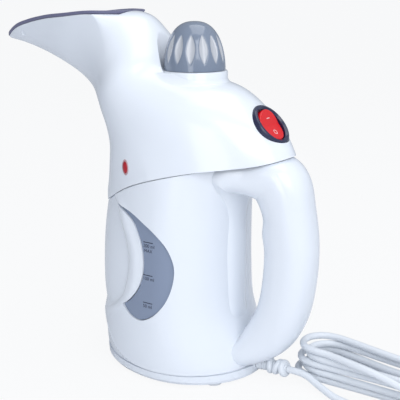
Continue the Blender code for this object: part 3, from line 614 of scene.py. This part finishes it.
def make_cord():
    data = bpy.data.curves.new("mains_cord", "CURVE")
    data.dimensions = "3D"
    data.bevel_depth = CORD_DIAMETER / 2
    data.bevel_resolution = 4
    data.use_fill_caps = True
    points = cord_points()
    line = data.splines.new("POLY")
    line.points.add(len(points) - 1)
    for place, point in zip(line.points, points):
        place.co = (*point, 1.0)
    line.use_smooth = True
    cord = bpy.data.objects.new("mains_cord", data)
    bpy.context.scene.collection.objects.link(cord)
    data.materials.append(CORD)
    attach(cord, "steamer")
    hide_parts("power_cord", "cord_hank")

    tie = finished("hank_strap", tied_band(), TIE, ["hank_tie"])
    profile = [(0.0, 0.0), (0.0034, 0.0)]
    for k in range(6):
        profile += [(0.0038 + 0.0006 * k, 0.0012 + 0.0016 * k), (0.0046 + 0.0006 * k, 0.0018 + 0.0016 * k)]
    profile += [(0.0098, 0.0120), (0.0119, 0.0152), (0.0125, 0.0180), (0.0125, 0.0325), (0.0121, 0.0336),
                (0.0112, 0.0340), (0.0, 0.0340)]
    plug = spun(profile, PLUG, (1, 0, 0), 56)
    for vert in plug.verts:
        if vert.co.x > PLUG.x + 0.0150:
            vert.co.z = PLUG.z + (vert.co.z - PLUG.z) * 0.86
    plug = finished("mains_plug", plug, CORD, ["plug_body"])
    for i, side in enumerate((-1, 1)):
        at = PLUG + Vector((0, side * 0.0075, 0))
        profile = [(0.0, 0.0338), (0.0020, 0.0338), (0.0020, 0.0512), (0.0017, 0.0524), (0.0010, 0.0530),
                   (0.0, 0.0530)]
        finished(f"mains_pin_{i + 1}", spun(profile, at, (1, 0, 0), 24), PIN,
                             [f"plug_pin_{i + 1}"])
    profile = [(0.0, 0.0), (0.0050, 0.0), (0.0050, 0.0028)]
    for k in range(8):
        radius = 0.0047 - 0.0002 * k
        profile += [(radius - 0.0007, 0.0036 + 0.0020 * k), (radius, 0.0044 + 0.0020 * k),
                    (radius, 0.0052 + 0.0020 * k)]
    profile += [(0.0031, 0.0225), (0.0, 0.0225)]
    relief = finished("cord_relief", spun(profile, (0.0940, 0, CORD_EXIT.z), (1, 0, 0), 40), CORD,
                      ["strain_relief"])
    knot = finished("cord_knot", cord_knot(), CORD)


def cord_knot():
    """Turns of the cord knotted round its relief, just past the housing."""
    loops = []
    for x, lean, spin in ((0.1030, 0.30, 0.2), (0.1092, -0.38, 1.2), (0.1140, 0.30, 2.1)):
        centre = Vector((x, 0.0, CORD_EXIT.z))
        axis = Vector((1.0, lean * math.cos(spin), lean * math.sin(spin)))
        profile = [
            (0.0039 + 0.0022 * math.cos(2 * math.pi * k / 14), 0.0022 * math.sin(2 * math.pi * k / 14))
            for k in range(14)
        ]
        loops.append(spun(profile, centre, axis, 36, ring=True))
    return joined(loops)


# ---------------------------------------------------------------- body


def seam_height(x):
    return spline(SEAM, x)[0]


def skirt_height(turn):
    """The line of the base skirt, which sweeps up towards the nose."""
    return 0.0085 + 0.0420 * max(0.0, -math.cos(turn)) ** 2.8


def body_relief(point, turn):
    """How far the body's skin stands out from its plain form at a point of it."""
    edge = spline(RIDGE_EDGE, point.z)[0]
    ahead = edge - point.x
    fade = step(point.z, 0.034, 0.046) * (1 - step(point.z, 0.120, 0.138))
    out = -0.0026 * step(ahead, -0.0010, 0.0050) * math.exp(-((max(ahead, 0.0) / 0.030) ** 2)) * fade
    out += 0.0011 * math.exp(-(((ahead + 0.0055) / 0.0042) ** 2)) * fade
    under = skirt_height(turn) - point.z
    out -= 0.0009 * step(under, -0.0002, 0.0006)
    out += 0.0004 * math.exp(-(((under + 0.0010) / 0.0009) ** 2))
    return out


def body_point(turn, z, inset=0.0, relief=True):
    nose, rear, half = (value - inset for value in spline(BODY_STATIONS, z))
    reach = rear if math.cos(turn) > 0 else nose
    point = Vector((BODY_X + reach * math.cos(turn), half * math.sin(turn), z))
    if relief:
        out = Vector((math.cos(turn) / reach, math.sin(turn) / half, 0.0)).normalized()
        point += out * body_relief(point, turn)
    return point


def body_form(low, high, inset=0.0, around=64, along=14, relief=False):
    return rolled_sheet(
        lambda u, v: body_point(2 * math.pi * u, low + (high - low) * v, inset, relief), around, along)


def seam_block(shift, above):
    """Everything above or below the seam, shifted up by shift."""
    steps = 110
    low, high = SEAM[0][0] - 0.10, SEAM[-1][0] + 0.02
    places = [low + (high - low) * k / steps for k in range(steps + 1)]
    edge = [(x, seam_height(x) + shift) for x in places]
    far = 0.32 if above else -0.05
    return prism(edge + [(high, far), (low, far)], 0.09)


def window_outline(grow):
    """The crescent of the water gauge, seen from the flank, as X and Z."""
    outline = []
    for side in (WINDOW_REAR, WINDOW_FRONT):
        count = len(side) - 1
        for k in range(5 * count):
            i = k // 5
            around = (side[max(i - 1, 0)], side[i], side[i + 1], side[min(i + 2, count)])
            outline.append(Vector([through(values, k % 5 / 5) for values in zip(*around)]))
    grown = []
    for i, point in enumerate(outline):
        back = (point - outline[i - 1]).normalized()
        ahead = (outline[(i + 1) % len(outline)] - point).normalized()
        out = Vector((-(back.y + ahead.y), back.x + ahead.x)).normalized()
        grown.append(point + out * grow)
    return [tuple(point) for point in grown]


def make_body():
    skin = body_form(BODY_LOW, 0.168, around=300, along=150, relief=True)
    skin = carved(skin, body_form(BODY_LOW - 0.002, 0.172, BODY_WALL + 0.0012, 96, 24))
    skin = carved(skin, seam_block(-0.0003, above=False), "INTERSECT")
    skin = carved(skin, prism(window_outline(0.0004), 0.09))
    groove = spun([(0.0, 0.0), (0.0062, 0.0), (0.0062, 0.070), (0.0, 0.070)], (0.060, 0, CORD_EXIT.z),
                  (1, 0, 0), 32)
    skin = carved(skin, groove)
    finished("body_cover", skin, WHITE, ["body_shell"])
    lip = body_form(0.100, 0.1685, BODY_WALL + 0.0002, 120, 40)
    lip = carved(lip, body_form(0.098, 0.172, BODY_WALL + 0.0016, 96, 24))
    lip = carved(lip, seam_block(0.0030, above=False), "INTERSECT")
    lip = carved(lip, seam_block(-0.0060, above=True), "INTERSECT")
    finished("seam_lip", lip, WHITE)
    for name, side in (("near", -1), ("far", 1)):
        pane = body_form(0.030, 0.135, 0.0012, 160, 60)
        pane = carved(pane, body_form(0.020, 0.145, 0.0030, 96, 20))
        pane = carved(pane, prism(window_outline(0.0), 0.09), "INTERSECT")
        half = bmesh.new()
        bmesh.ops.create_cube(half, size=1.0)
        bmesh.ops.scale(half, vec=(0.2, 0.1, 0.3), verts=half.verts)
        bmesh.ops.translate(half, vec=(BODY_X, -side * 0.052, 0.08), verts=half.verts)
        pane = carved(pane, half)
        finished(f"gauge_pane_{name}", pane, WINDOW, [f"window_{name}"])
        finished(f"gauge_print_{name}", gauge_print(side), INK)


def flank_y(x, z, inset):
    """Half width of the body at this X and Z."""
    nose, rear, half = (value - inset for value in spline(BODY_STATIONS, z))
    reach = rear if x > BODY_X else nose
    return half * math.sqrt(max(0.0, 1 - ((x - BODY_X) / reach) ** 2))


def lettering(words, size):
    """The outline of some words as a flat bmesh, from the origin to the right."""
    curve = bpy.data.curves.new("words", "FONT")
    curve.body = words
    curve.size = size
    curve.resolution_u = 3
    made = bpy.data.objects.new("words", curve)
    bpy.context.scene.collection.objects.link(made)
    graph = bpy.context.evaluated_depsgraph_get()
    graph.update()
    flat = bpy.data.meshes.new_from_object(made.evaluated_get(graph))
    shape = bmesh.new()
    shape.from_mesh(flat)
    bpy.data.meshes.remove(flat)
    bpy.data.objects.remove(made)
    bpy.data.curves.remove(curve)
    return shape


def gauge_print(side):
    """Level lines and their volumes, printed on the outside of a pane."""
    parts = []
    for height, words in GAUGE_LINES:
        bar = bmesh.new()
        bmesh.ops.create_grid(bar, x_segments=8, y_segments=1, size=0.5)
        bmesh.ops.scale(bar, vec=(0.0080, 0.00055, 1.0), verts=bar.verts)
        bmesh.ops.translate(bar, vec=(0.0040, 0.0, 0.0), verts=bar.verts)
        text = lettering(words, 0.0034)
        bmesh.ops.translate(text, vec=(0.0, -0.0036, 0.0), verts=text.verts)
        group = [bar, text]
        if words == GAUGE_LINES[0][1]:
            top = lettering("MAX", 0.0032)
            bmesh.ops.translate(top, vec=(0.0008, -0.0070, 0.0), verts=top.verts)
            group.append(top)
        line = joined(group)
        start = 0.0312 + (0.0 if side < 0 else 0.0085)
        for vert in line.verts:
            x = start - side * vert.co.x
            z = height + vert.co.y
            vert.co = Vector((x, side * (flank_y(x, z, 0.0012) + 0.00006), z))
        parts.append(line)
    marks = joined(parts)
    bmesh.ops.recalc_face_normals(marks, faces=marks.faces)
    for face in marks.faces:
        if face.normal.y * side < 0:
            face.normal_flip()
    bmesh.ops.solidify(marks, geom=marks.faces, thickness=0.00004)
    return marks


# ---------------------------------------------------------------- head


def head_point(turn, angle, inset=0.0):
    """A point of the head's skin. Turn 0 is the roof and half a turn the underside."""
    inner, outer, half, widest, pinch = spline(HEAD_STATIONS, angle)
    widest = min(widest, 1.0)
    middle = (inner + outer) / 2
    deep = (outer - inner) / 2 - inset
    half -= inset
    direction = Vector((math.cos(math.radians(angle)), 0, math.sin(math.radians(angle))))
    if math.cos(turn) < 0:
        along = widest + (1 + widest) * math.cos(turn)
    else:
        along = widest + (1 - widest) * math.cos(turn)
    side = half * math.sin(turn) * (1 - pinch * max(math.cos(turn), 0.0))
    return FAN + direction * (middle + along * deep) + Vector((0, side, 0))


def head_form(first, last, inset=0.0, around=48, along=30):
    return rolled_sheet(lambda u, v: head_point(2 * math.pi * u, first + (last - first) * v, inset),
                        around, along)


def mouth_block(first, last, low, high, shrink, rows=40):
    """A slab that follows the curved mouth. Low and high are measured from its surface along the fan."""
    slab = bmesh.new()
    loops = []
    for k in range(rows + 1):
        angle = first + (last - first) * k / rows
        outer, half = spline(HEAD_STATIONS, angle)[1:3]
        rounding = min(max((angle - MOUTH_FROM + 1.0) / 9.0, 0.0), 1.0)
        half = max(half * math.sqrt(1 - (1 - rounding) ** 2) - shrink, 0.0012)
        direction = Vector((math.cos(math.radians(angle)), 0, math.sin(math.radians(angle))))
        foot, top = FAN + direction * (outer + low), FAN + direction * (outer + high)
        side = Vector((0, half, 0))
        verts = [slab.verts.new(spot) for spot in (foot - side, foot + side, top + side, top - side)]
        loops.append([slab.edges.new((verts[i], verts[(i + 1) % 4])) for i in range(4)])
    for low_loop, high_loop in zip(loops, loops[1:]):
        bmesh.ops.bridge_loops(slab, edges=low_loop + high_loop)
    bmesh.ops.holes_fill(slab, edges=loops[0] + loops[-1], sides=4)
    bmesh.ops.recalc_face_normals(slab, faces=slab.faces)
    return slab


def switch_normal():
    return Vector((math.sin(SWITCH_TILT), 0, math.cos(SWITCH_TILT)))


def lamp_shape(profile, ring=False):
    """A turned shape on the lamp's axis, stretched upwards to the lamp's oval."""
    shape = spun(profile, LAMP, LAMP_FACES, 40, ring=ring)
    up = (Vector((0, 0, 1)) - LAMP_FACES * LAMP_FACES.z).normalized()
    for vert in shape.verts:
        vert.co += up * ((vert.co - LAMP).dot(up) * (LAMP_HALF[1] / LAMP_HALF[0] - 1.0))
    return shape


def make_head():
    skin = head_form(-8.0, 93.5, around=200, along=210)
    roof = BVHTree.FromBMesh(skin)
    skin = carved(skin, seam_block(0.0003, above=True), "INTERSECT")
    wall = [(0.0, 0.1985), (COLLAR_RADIUS + 0.0180, 0.1985), (COLLAR_RADIUS + 0.0180, 0.300), (0.0, 0.300)]
    hollow = carved(head_form(-8.0, 82.0, HEAD_WALL, 64, 48), spun(wall, (CAP_X, 0, 0), (0, 0, 1), 96))
    skin = carved(skin, hollow)
    skin = carved(skin, mouth_block(MOUTH_FROM - 0.12, 97.0, -MOUTH_LIP - GAP, 0.02, -0.012))
    bore = [(0.0, 0.170), (COLLAR_RADIUS + 0.0002, 0.170)]
    bore += [(COLLAR_RADIUS + 0.0002 + 0.0090 * (k / 12) ** 1.7, COLLAR_TOP - 0.0010 + 0.0030 * k)
             for k in range(13)]
    bore += [(COLLAR_RADIUS + 0.0092, 0.300), (0.0, 0.300)]
    skin = carved(skin, spun(bore, (CAP_X, 0, 0), (0, 0, 1), 96))
    bore = [(0.0, -0.016), (BEZEL_RADIUS + GAP, -0.016), (BEZEL_RADIUS + GAP, 0.02), (0.0, 0.02)]
    skin = carved(skin, spun(bore, SWITCH, switch_normal(), 80))
    lamp_bore = [(0.0, -0.008), (LAMP_HALF[0], -0.008), (LAMP_HALF[0], 0.008), (0.0, 0.008)]
    skin = carved(skin, lamp_shape(lamp_bore))
    for side in (-1, 1):
        pit = Vector((DIMPLE[0], side * DIMPLE[1], DIMPLE[2]))
        face = Vector((DIMPLE_FACES[0], side * DIMPLE_FACES[1], DIMPLE_FACES[2])).normalized()
        dish = [(0.0, -0.0012), (0.0016, -0.0011), (0.0023, -0.0006), (0.0026, 0.0), (0.0028, 0.0040),
                (0.0, 0.0040)]
        skin = carved(skin, spun(dish, pit, face, 32))
    finished("head_cover", skin, WHITE, ["head_shell"])
    return roof


def make_mouth():
    rim = mouth_block(MOUTH_FROM, MOUTH_TO, -MOUTH_LIP, 0.0002, 0.0)
    rim = carved(rim, mouth_block(MOUTH_FROM + 1.6, MOUTH_TO - 2.5, -0.006, 0.004, 0.0026))
    edges = [edge for edge in rim.edges if len(edge.link_faces) == 2 and edge.calc_face_angle() > 0.9]
    bmesh.ops.bevel(rim, geom=edges, offset=0.0005, segments=2, profile=0.5, affect="EDGES", material=-1)
    finished("mouth_rim", rim, RIM, ["mouth_frame"])
    plate = mouth_block(MOUTH_FROM + 1.75, MOUTH_TO - 2.7, -MOUTH_LIP, -0.0008, 0.0026 + GAP)
    vents = []
    for angle in (60.0, 64.0, 68.0, 72.0, 76.0):
        outer = spline(HEAD_STATIONS, angle)[1]
        direction = Vector((math.cos(math.radians(angle)), 0, math.sin(math.radians(angle))))
        for y in (-0.0075, 0.0, 0.0075):
            start = FAN + direction * (outer - 0.006) + Vector((0, y, 0))
            hole = [(0.0, 0.0), (0.0012, 0.0), (0.0012, 0.010), (0.0, 0.010)]
            vents.append(spun(hole, start, direction, 20))
    plate = carved(plate, joined(vents))
    finished("vent_plate", plate, PLATE, ["steam_plate"])


def make_collar(roof):
    """The white collar under the cap, flared where it runs into the roof."""
    profile = [
        (0.0150, COLLAR_TOP - 0.0006), (0.0156, COLLAR_TOP), (COLLAR_RADIUS - 0.0012, COLLAR_TOP),
        (COLLAR_RADIUS - 0.0004, COLLAR_TOP - 0.0003), (COLLAR_RADIUS, COLLAR_TOP - 0.0012),
        (COLLAR_RADIUS, 0.1930), (0.0172, 0.1880), (0.0172, 0.1240), (0.0150, 0.1240),
    ]
    neck = spun(profile, (CAP_X, 0, 0), (0, 0, 1), 96, ring=True)
    finished("filler_collar", neck, WHITE, ["filler_neck"])

    def place(u, v):
        turn = 2 * math.pi * u
        out = Vector((math.cos(turn), math.sin(turn), 0))
        front = 0.5 - 0.5 * math.cos(turn)
        reach = 0.0022 + 0.0090 * front ** 1.5
        climb = 0.0020 + 0.0060 * front ** 1.5
        radius = COLLAR_RADIUS + 0.00003 + reach * v
        spot = Vector((CAP_X, 0, 0)) + out * radius
        hit = roof.ray_cast(spot + Vector((0, 0, 0.30)), Vector((0, 0, -1)))[0]
        height = hit.z + climb * (1 - v) ** 2.6 - 0.00005 * v
        return Vector((spot.x, spot.y, min(height, COLLAR_TOP - 0.0008)))

    fillet = bmesh.new()
    bmesh.ops.create_grid(fillet, x_segments=120, y_segments=14, size=0.5)
    for vert in fillet.verts:
        vert.co = place(vert.co.x + 0.5, vert.co.y + 0.5)
    bmesh.ops.remove_doubles(fillet, verts=fillet.verts, dist=1e-6)
    bmesh.ops.recalc_face_normals(fillet, faces=fillet.faces)
    if sum(face.normal.z for face in fillet.faces) < 0:
        bmesh.ops.reverse_faces(fillet, faces=fillet.faces)
    finished("collar_fillet", fillet, WHITE)


def scallop(u, height):
    """Depth of the lens-shaped scallops, from 0 to 1, round the dome and up from its rim."""
    reach = min(max((height - 0.0040) / 0.0205, 0.0), 1.0)
    width = math.sin(math.pi * reach ** 1.15) ** 0.7
    swing = abs(((u * CAP_FLUTES) % 1.0) - 0.5) * 2
    if width < 0.02:
        return 0.0
    return width * max(0.0, 1 - (swing / (0.80 * width)) ** 2)


def make_cap():
    """The fluted dome, with a mask of painted highlight where its scallops are."""
    low = COLLAR_TOP + GAP
    rows, segments = 100, 20 * CAP_FLUTES

    def dome(u, v):
        t = v * 0.9995
        height = low + CAP_HEIGHT * math.sin(math.pi / 2 * t)
        radius = CAP_RADIUS * math.cos(math.pi / 2 * t) ** 0.80
        hollow = 0.0016 * scallop(u, height - low)
        return Vector((CAP_X + (radius - hollow) * math.cos(2 * math.pi * u),
                       (radius - hollow) * math.sin(2 * math.pi * u), height))

    skin = rolled_sheet(dome, segments, rows)
    under = spun([(0.0, low - 0.001), (SEAL_RADIUS + GAP, low - 0.001), (SEAL_RADIUS + GAP, low + 0.0017),
                  (0.0, low + 0.0017)], (CAP_X, 0, 0), (0, 0, 1), 64)
    skin = carved(skin, under)
    cap = finished("cap_dome", skin, SMOKE, ["fill_cap"], body="cap", sharp=40.0)
    # Mask of the painted highlight on the scallops, read by the smoke material.
    light = cap.data.attributes.new("scallop", "FLOAT", "POINT")
    for vert, spot in zip(cap.data.vertices, light.data):
        spot.value = step(scallop((math.atan2(vert.co.y, vert.co.x - CAP_X) / (2 * math.pi)) % 1.0,
                                  vert.co.z - low), 0.10, 0.45)


# ---------------------------------------------------------------- handle


def handle_form(steps=18, points=72):
    """The D-shaped loop with its squarish section and the bump under the first finger."""
    count = len(HANDLE_STATIONS)

    def place(u, v):
        spot = (u * count) % count
        i, t = int(spot), spot - int(spot)
        before, here, after, later = (HANDLE_STATIONS[(i + shift) % count] for shift in (-1, 0, 1, 2))
        x, z, deep, half = (through(values, t) for values in zip(before, here, after, later))
        slope_x, slope_z = (
            0.5 * ((c - a) + 2 * (2 * a - 5 * b + 4 * c - d) * t + 3 * (3 * b - a - 3 * c + d) * t**2)
            for a, b, c, d in zip(before[:2], here[:2], after[:2], later[:2])
        )
        normal = Vector((slope_z, 0, -slope_x)).normalized()
        turn = 2 * math.pi * v
        out = math.copysign(abs(math.cos(turn)) ** 0.85, math.cos(turn))
        side = math.copysign(abs(math.sin(turn)) ** 0.85, math.sin(turn))
        point = Vector((x, half * side, z)) + normal * (deep * out)
        if point.x < x and x > 0.09:
            lift = math.exp(-(((point.z - GRIP_BUMP[0]) / GRIP_BUMP[1]) ** 2))
            lift -= 0.6 * math.exp(-(((point.z - GRIP_BUMP[0] - 0.0125) / GRIP_BUMP[1]) ** 2))
            point.x -= GRIP_BUMP[2] * lift * abs(out)
        return point

    return rolled_sheet(place, count * steps, points, closed_along=True)


def make_handle():
    loop = handle_form()
    groove = spun([(0.0, 0.0), (0.0062, 0.0), (0.0062, 0.070), (0.0, 0.070)], (0.060, 0, CORD_EXIT.z),
                  (1, 0, 0), 32)
    loop = carved(loop, groove)
    loop = carved(loop, body_form(BODY_LOW, 0.165, 0.0016, 96, 30))
    loop = carved(loop, seam_block(-0.0003, above=False), "INTERSECT")
    floor = bmesh.new()
    bmesh.ops.create_cube(floor, size=1.0)
    bmesh.ops.scale(floor, vec=(0.2, 0.1, 0.05), verts=floor.verts)
    bmesh.ops.translate(floor, vec=(0.1, 0.0, 0.0082 + 2 * GAP - 0.025), verts=floor.verts)
    loop = carved(loop, floor)
    finished("handle_cover", loop, WHITE, ["handle_loop"])


# ---------------------------------------------------------------- switch and lamp


def make_switch():
    normal = switch_normal()
    profile = [
        (BEZEL_BORE, -BEZEL_DEPTH), (BEZEL_RADIUS, -BEZEL_DEPTH), (BEZEL_RADIUS, 0.0006),
        (BEZEL_RADIUS - 0.0003, 0.0013), (BEZEL_RADIUS - 0.0010, 0.0018), (BEZEL_RADIUS - 0.0020, 0.0019),
        (BEZEL_BORE + 0.0006, 0.0013), (BEZEL_BORE, 0.0008),
    ]
    finished("switch_surround", spun(profile, SWITCH, normal, 96, ring=True), NAVY, ["switch_bezel"])
    pivot = SWITCH + normal * ROCKER_PIVOT
    lean = Matrix.Rotation(ROCKER_LEAN, 3, "Y")
    face = lean @ normal
    down = lean @ Vector((normal.z, 0, -normal.x))
    profile = [(0.0, -0.0030), (ROCKER_RADIUS, -0.0030), (ROCKER_RADIUS, 0.0016),
               (ROCKER_RADIUS - 0.0002, 0.0023), (ROCKER_RADIUS - 0.0007, 0.0028)]
    profile += [((ROCKER_RADIUS - 0.0007) * (1 - k / 12), 0.0028) for k in range(1, 13)]
    rocker = spun(profile, pivot, face, 96)
    for vert in rocker.verts:
        place = vert.co - pivot
        if place.dot(face) > 0.0010:
            slide = place.dot(down)
            vert.co += face * (0.0024 * min(abs(slide) / ROCKER_RADIUS, 1.0) ** 1.2 - 0.0008)
    finished("rocker_button", rocker, RED, ["power_rocker"], body="rocker", sharp=40.0)
    marks = []
    for slide, ring in ((-0.0052, False), (0.0052, True)):
        lift = 0.0028 + 0.0024 * (abs(slide) / ROCKER_RADIUS) ** 1.2 - 0.0008
        centre = pivot + down * slide + face * (lift + 0.00004)
        tilt = math.copysign(0.215, slide)
        up = (face - down * tilt).normalized()
        if ring:
            marks.append(spun([(0.0013, 0.0), (0.0018, 0.0), (0.0018, 0.00012), (0.0013, 0.00012)],
                              centre, up, 32, ring=True))
        else:
            bar = bmesh.new()
            bmesh.ops.create_cube(bar, size=1.0)
            bmesh.ops.scale(bar, vec=(0.00055, 0.0036, 0.00024), verts=bar.verts)
            turned = Matrix((up.cross(Vector((0, 1, 0))) * -1, Vector((0, 1, 0)), up)).transposed()
            bmesh.ops.rotate(bar, verts=bar.verts, cent=(0, 0, 0), matrix=turned)
            bmesh.ops.translate(bar, verts=bar.verts, vec=centre)
            marks.append(bar)
    finished("rocker_marks", joined(marks), MARK, body="rocker")


def make_lamp():
    half = LAMP_HALF[0]
    dome = [(0.0, -0.0034), (half - 0.0005, -0.0034), (half - 0.0005, 0.0002)]
    dome += [((half - 0.0006) * math.cos(math.pi / 2 * k / 8),
              0.0002 + 0.0010 * math.sin(math.pi / 2 * k / 8)) for k in range(9)]
    finished("lamp_lens", lamp_shape(dome), LENS, ["indicator_lens"])
    ring = [(half - 0.00045, -0.0030), (half - 0.00002, -0.0030), (half + 0.0003, 0.00010),
            (half + 0.0001, 0.00035), (half - 0.00045, 0.00030)]
    finished("lamp_ring", lamp_shape(ring, ring=True), LENS_RIM)


# ---------------------------------------------------------------- the rest


def finish_cad_nodes():
    """Every node that stays as it is gets the finish of its slot."""
    slots = {row["node"]: row["material_slot"] for row in frame["record"]["subparts"]}
    for name, node in frame["nodes"].items():
        node.data.materials.clear()
        node.data.materials.append(SLOT_FINISH[slots[name]])


def lay_floor():
    floor = bmesh.new()
    bmesh.ops.create_grid(floor, x_segments=1, y_segments=1, size=30.0)
    data = bpy.data.meshes.new("table_top")
    floor.to_mesh(data)
    floor.free()
    top = bpy.data.objects.new("table_top", data)
    bpy.context.scene.collection.objects.link(top)
    pale = bpy.data.materials.new("table_pale")
    pale.use_nodes = True
    tree = pale.node_tree
    shader = tree.nodes["Principled BSDF"]
    shader.inputs["Base Color"].default_value = (0.80, 0.81, 0.83, 1.0)
    shader.inputs["Roughness"].default_value = 0.8
    glow = tree.nodes.new("ShaderNodeEmission")
    glow.inputs["Color"].default_value = (0.98, 0.985, 0.99, 1.0)
    seen = tree.nodes.new("ShaderNodeLightPath")
    share = tree.nodes.new("ShaderNodeMath")
    share.operation = "MULTIPLY"
    share.inputs[1].default_value = FLOOR_GLOW
    both = tree.nodes.new("ShaderNodeMixShader")
    link(tree, seen.outputs["Is Camera Ray"], share.inputs[0])
    link(tree, share.outputs["Value"], both.inputs["Fac"])
    link(tree, shader.outputs["BSDF"], both.inputs[1])
    link(tree, glow.outputs["Emission"], both.inputs[2])
    link(tree, both.outputs["Shader"], tree.nodes["Material Output"].inputs["Surface"])
    data.materials.append(pale)


place_camera()
light_studio()
make_cord()
finish_cad_nodes()
make_body()
ROOF = make_head()
make_mouth()
make_collar(ROOF)
make_cap()
make_handle()
make_switch()
make_lamp()
lay_floor()
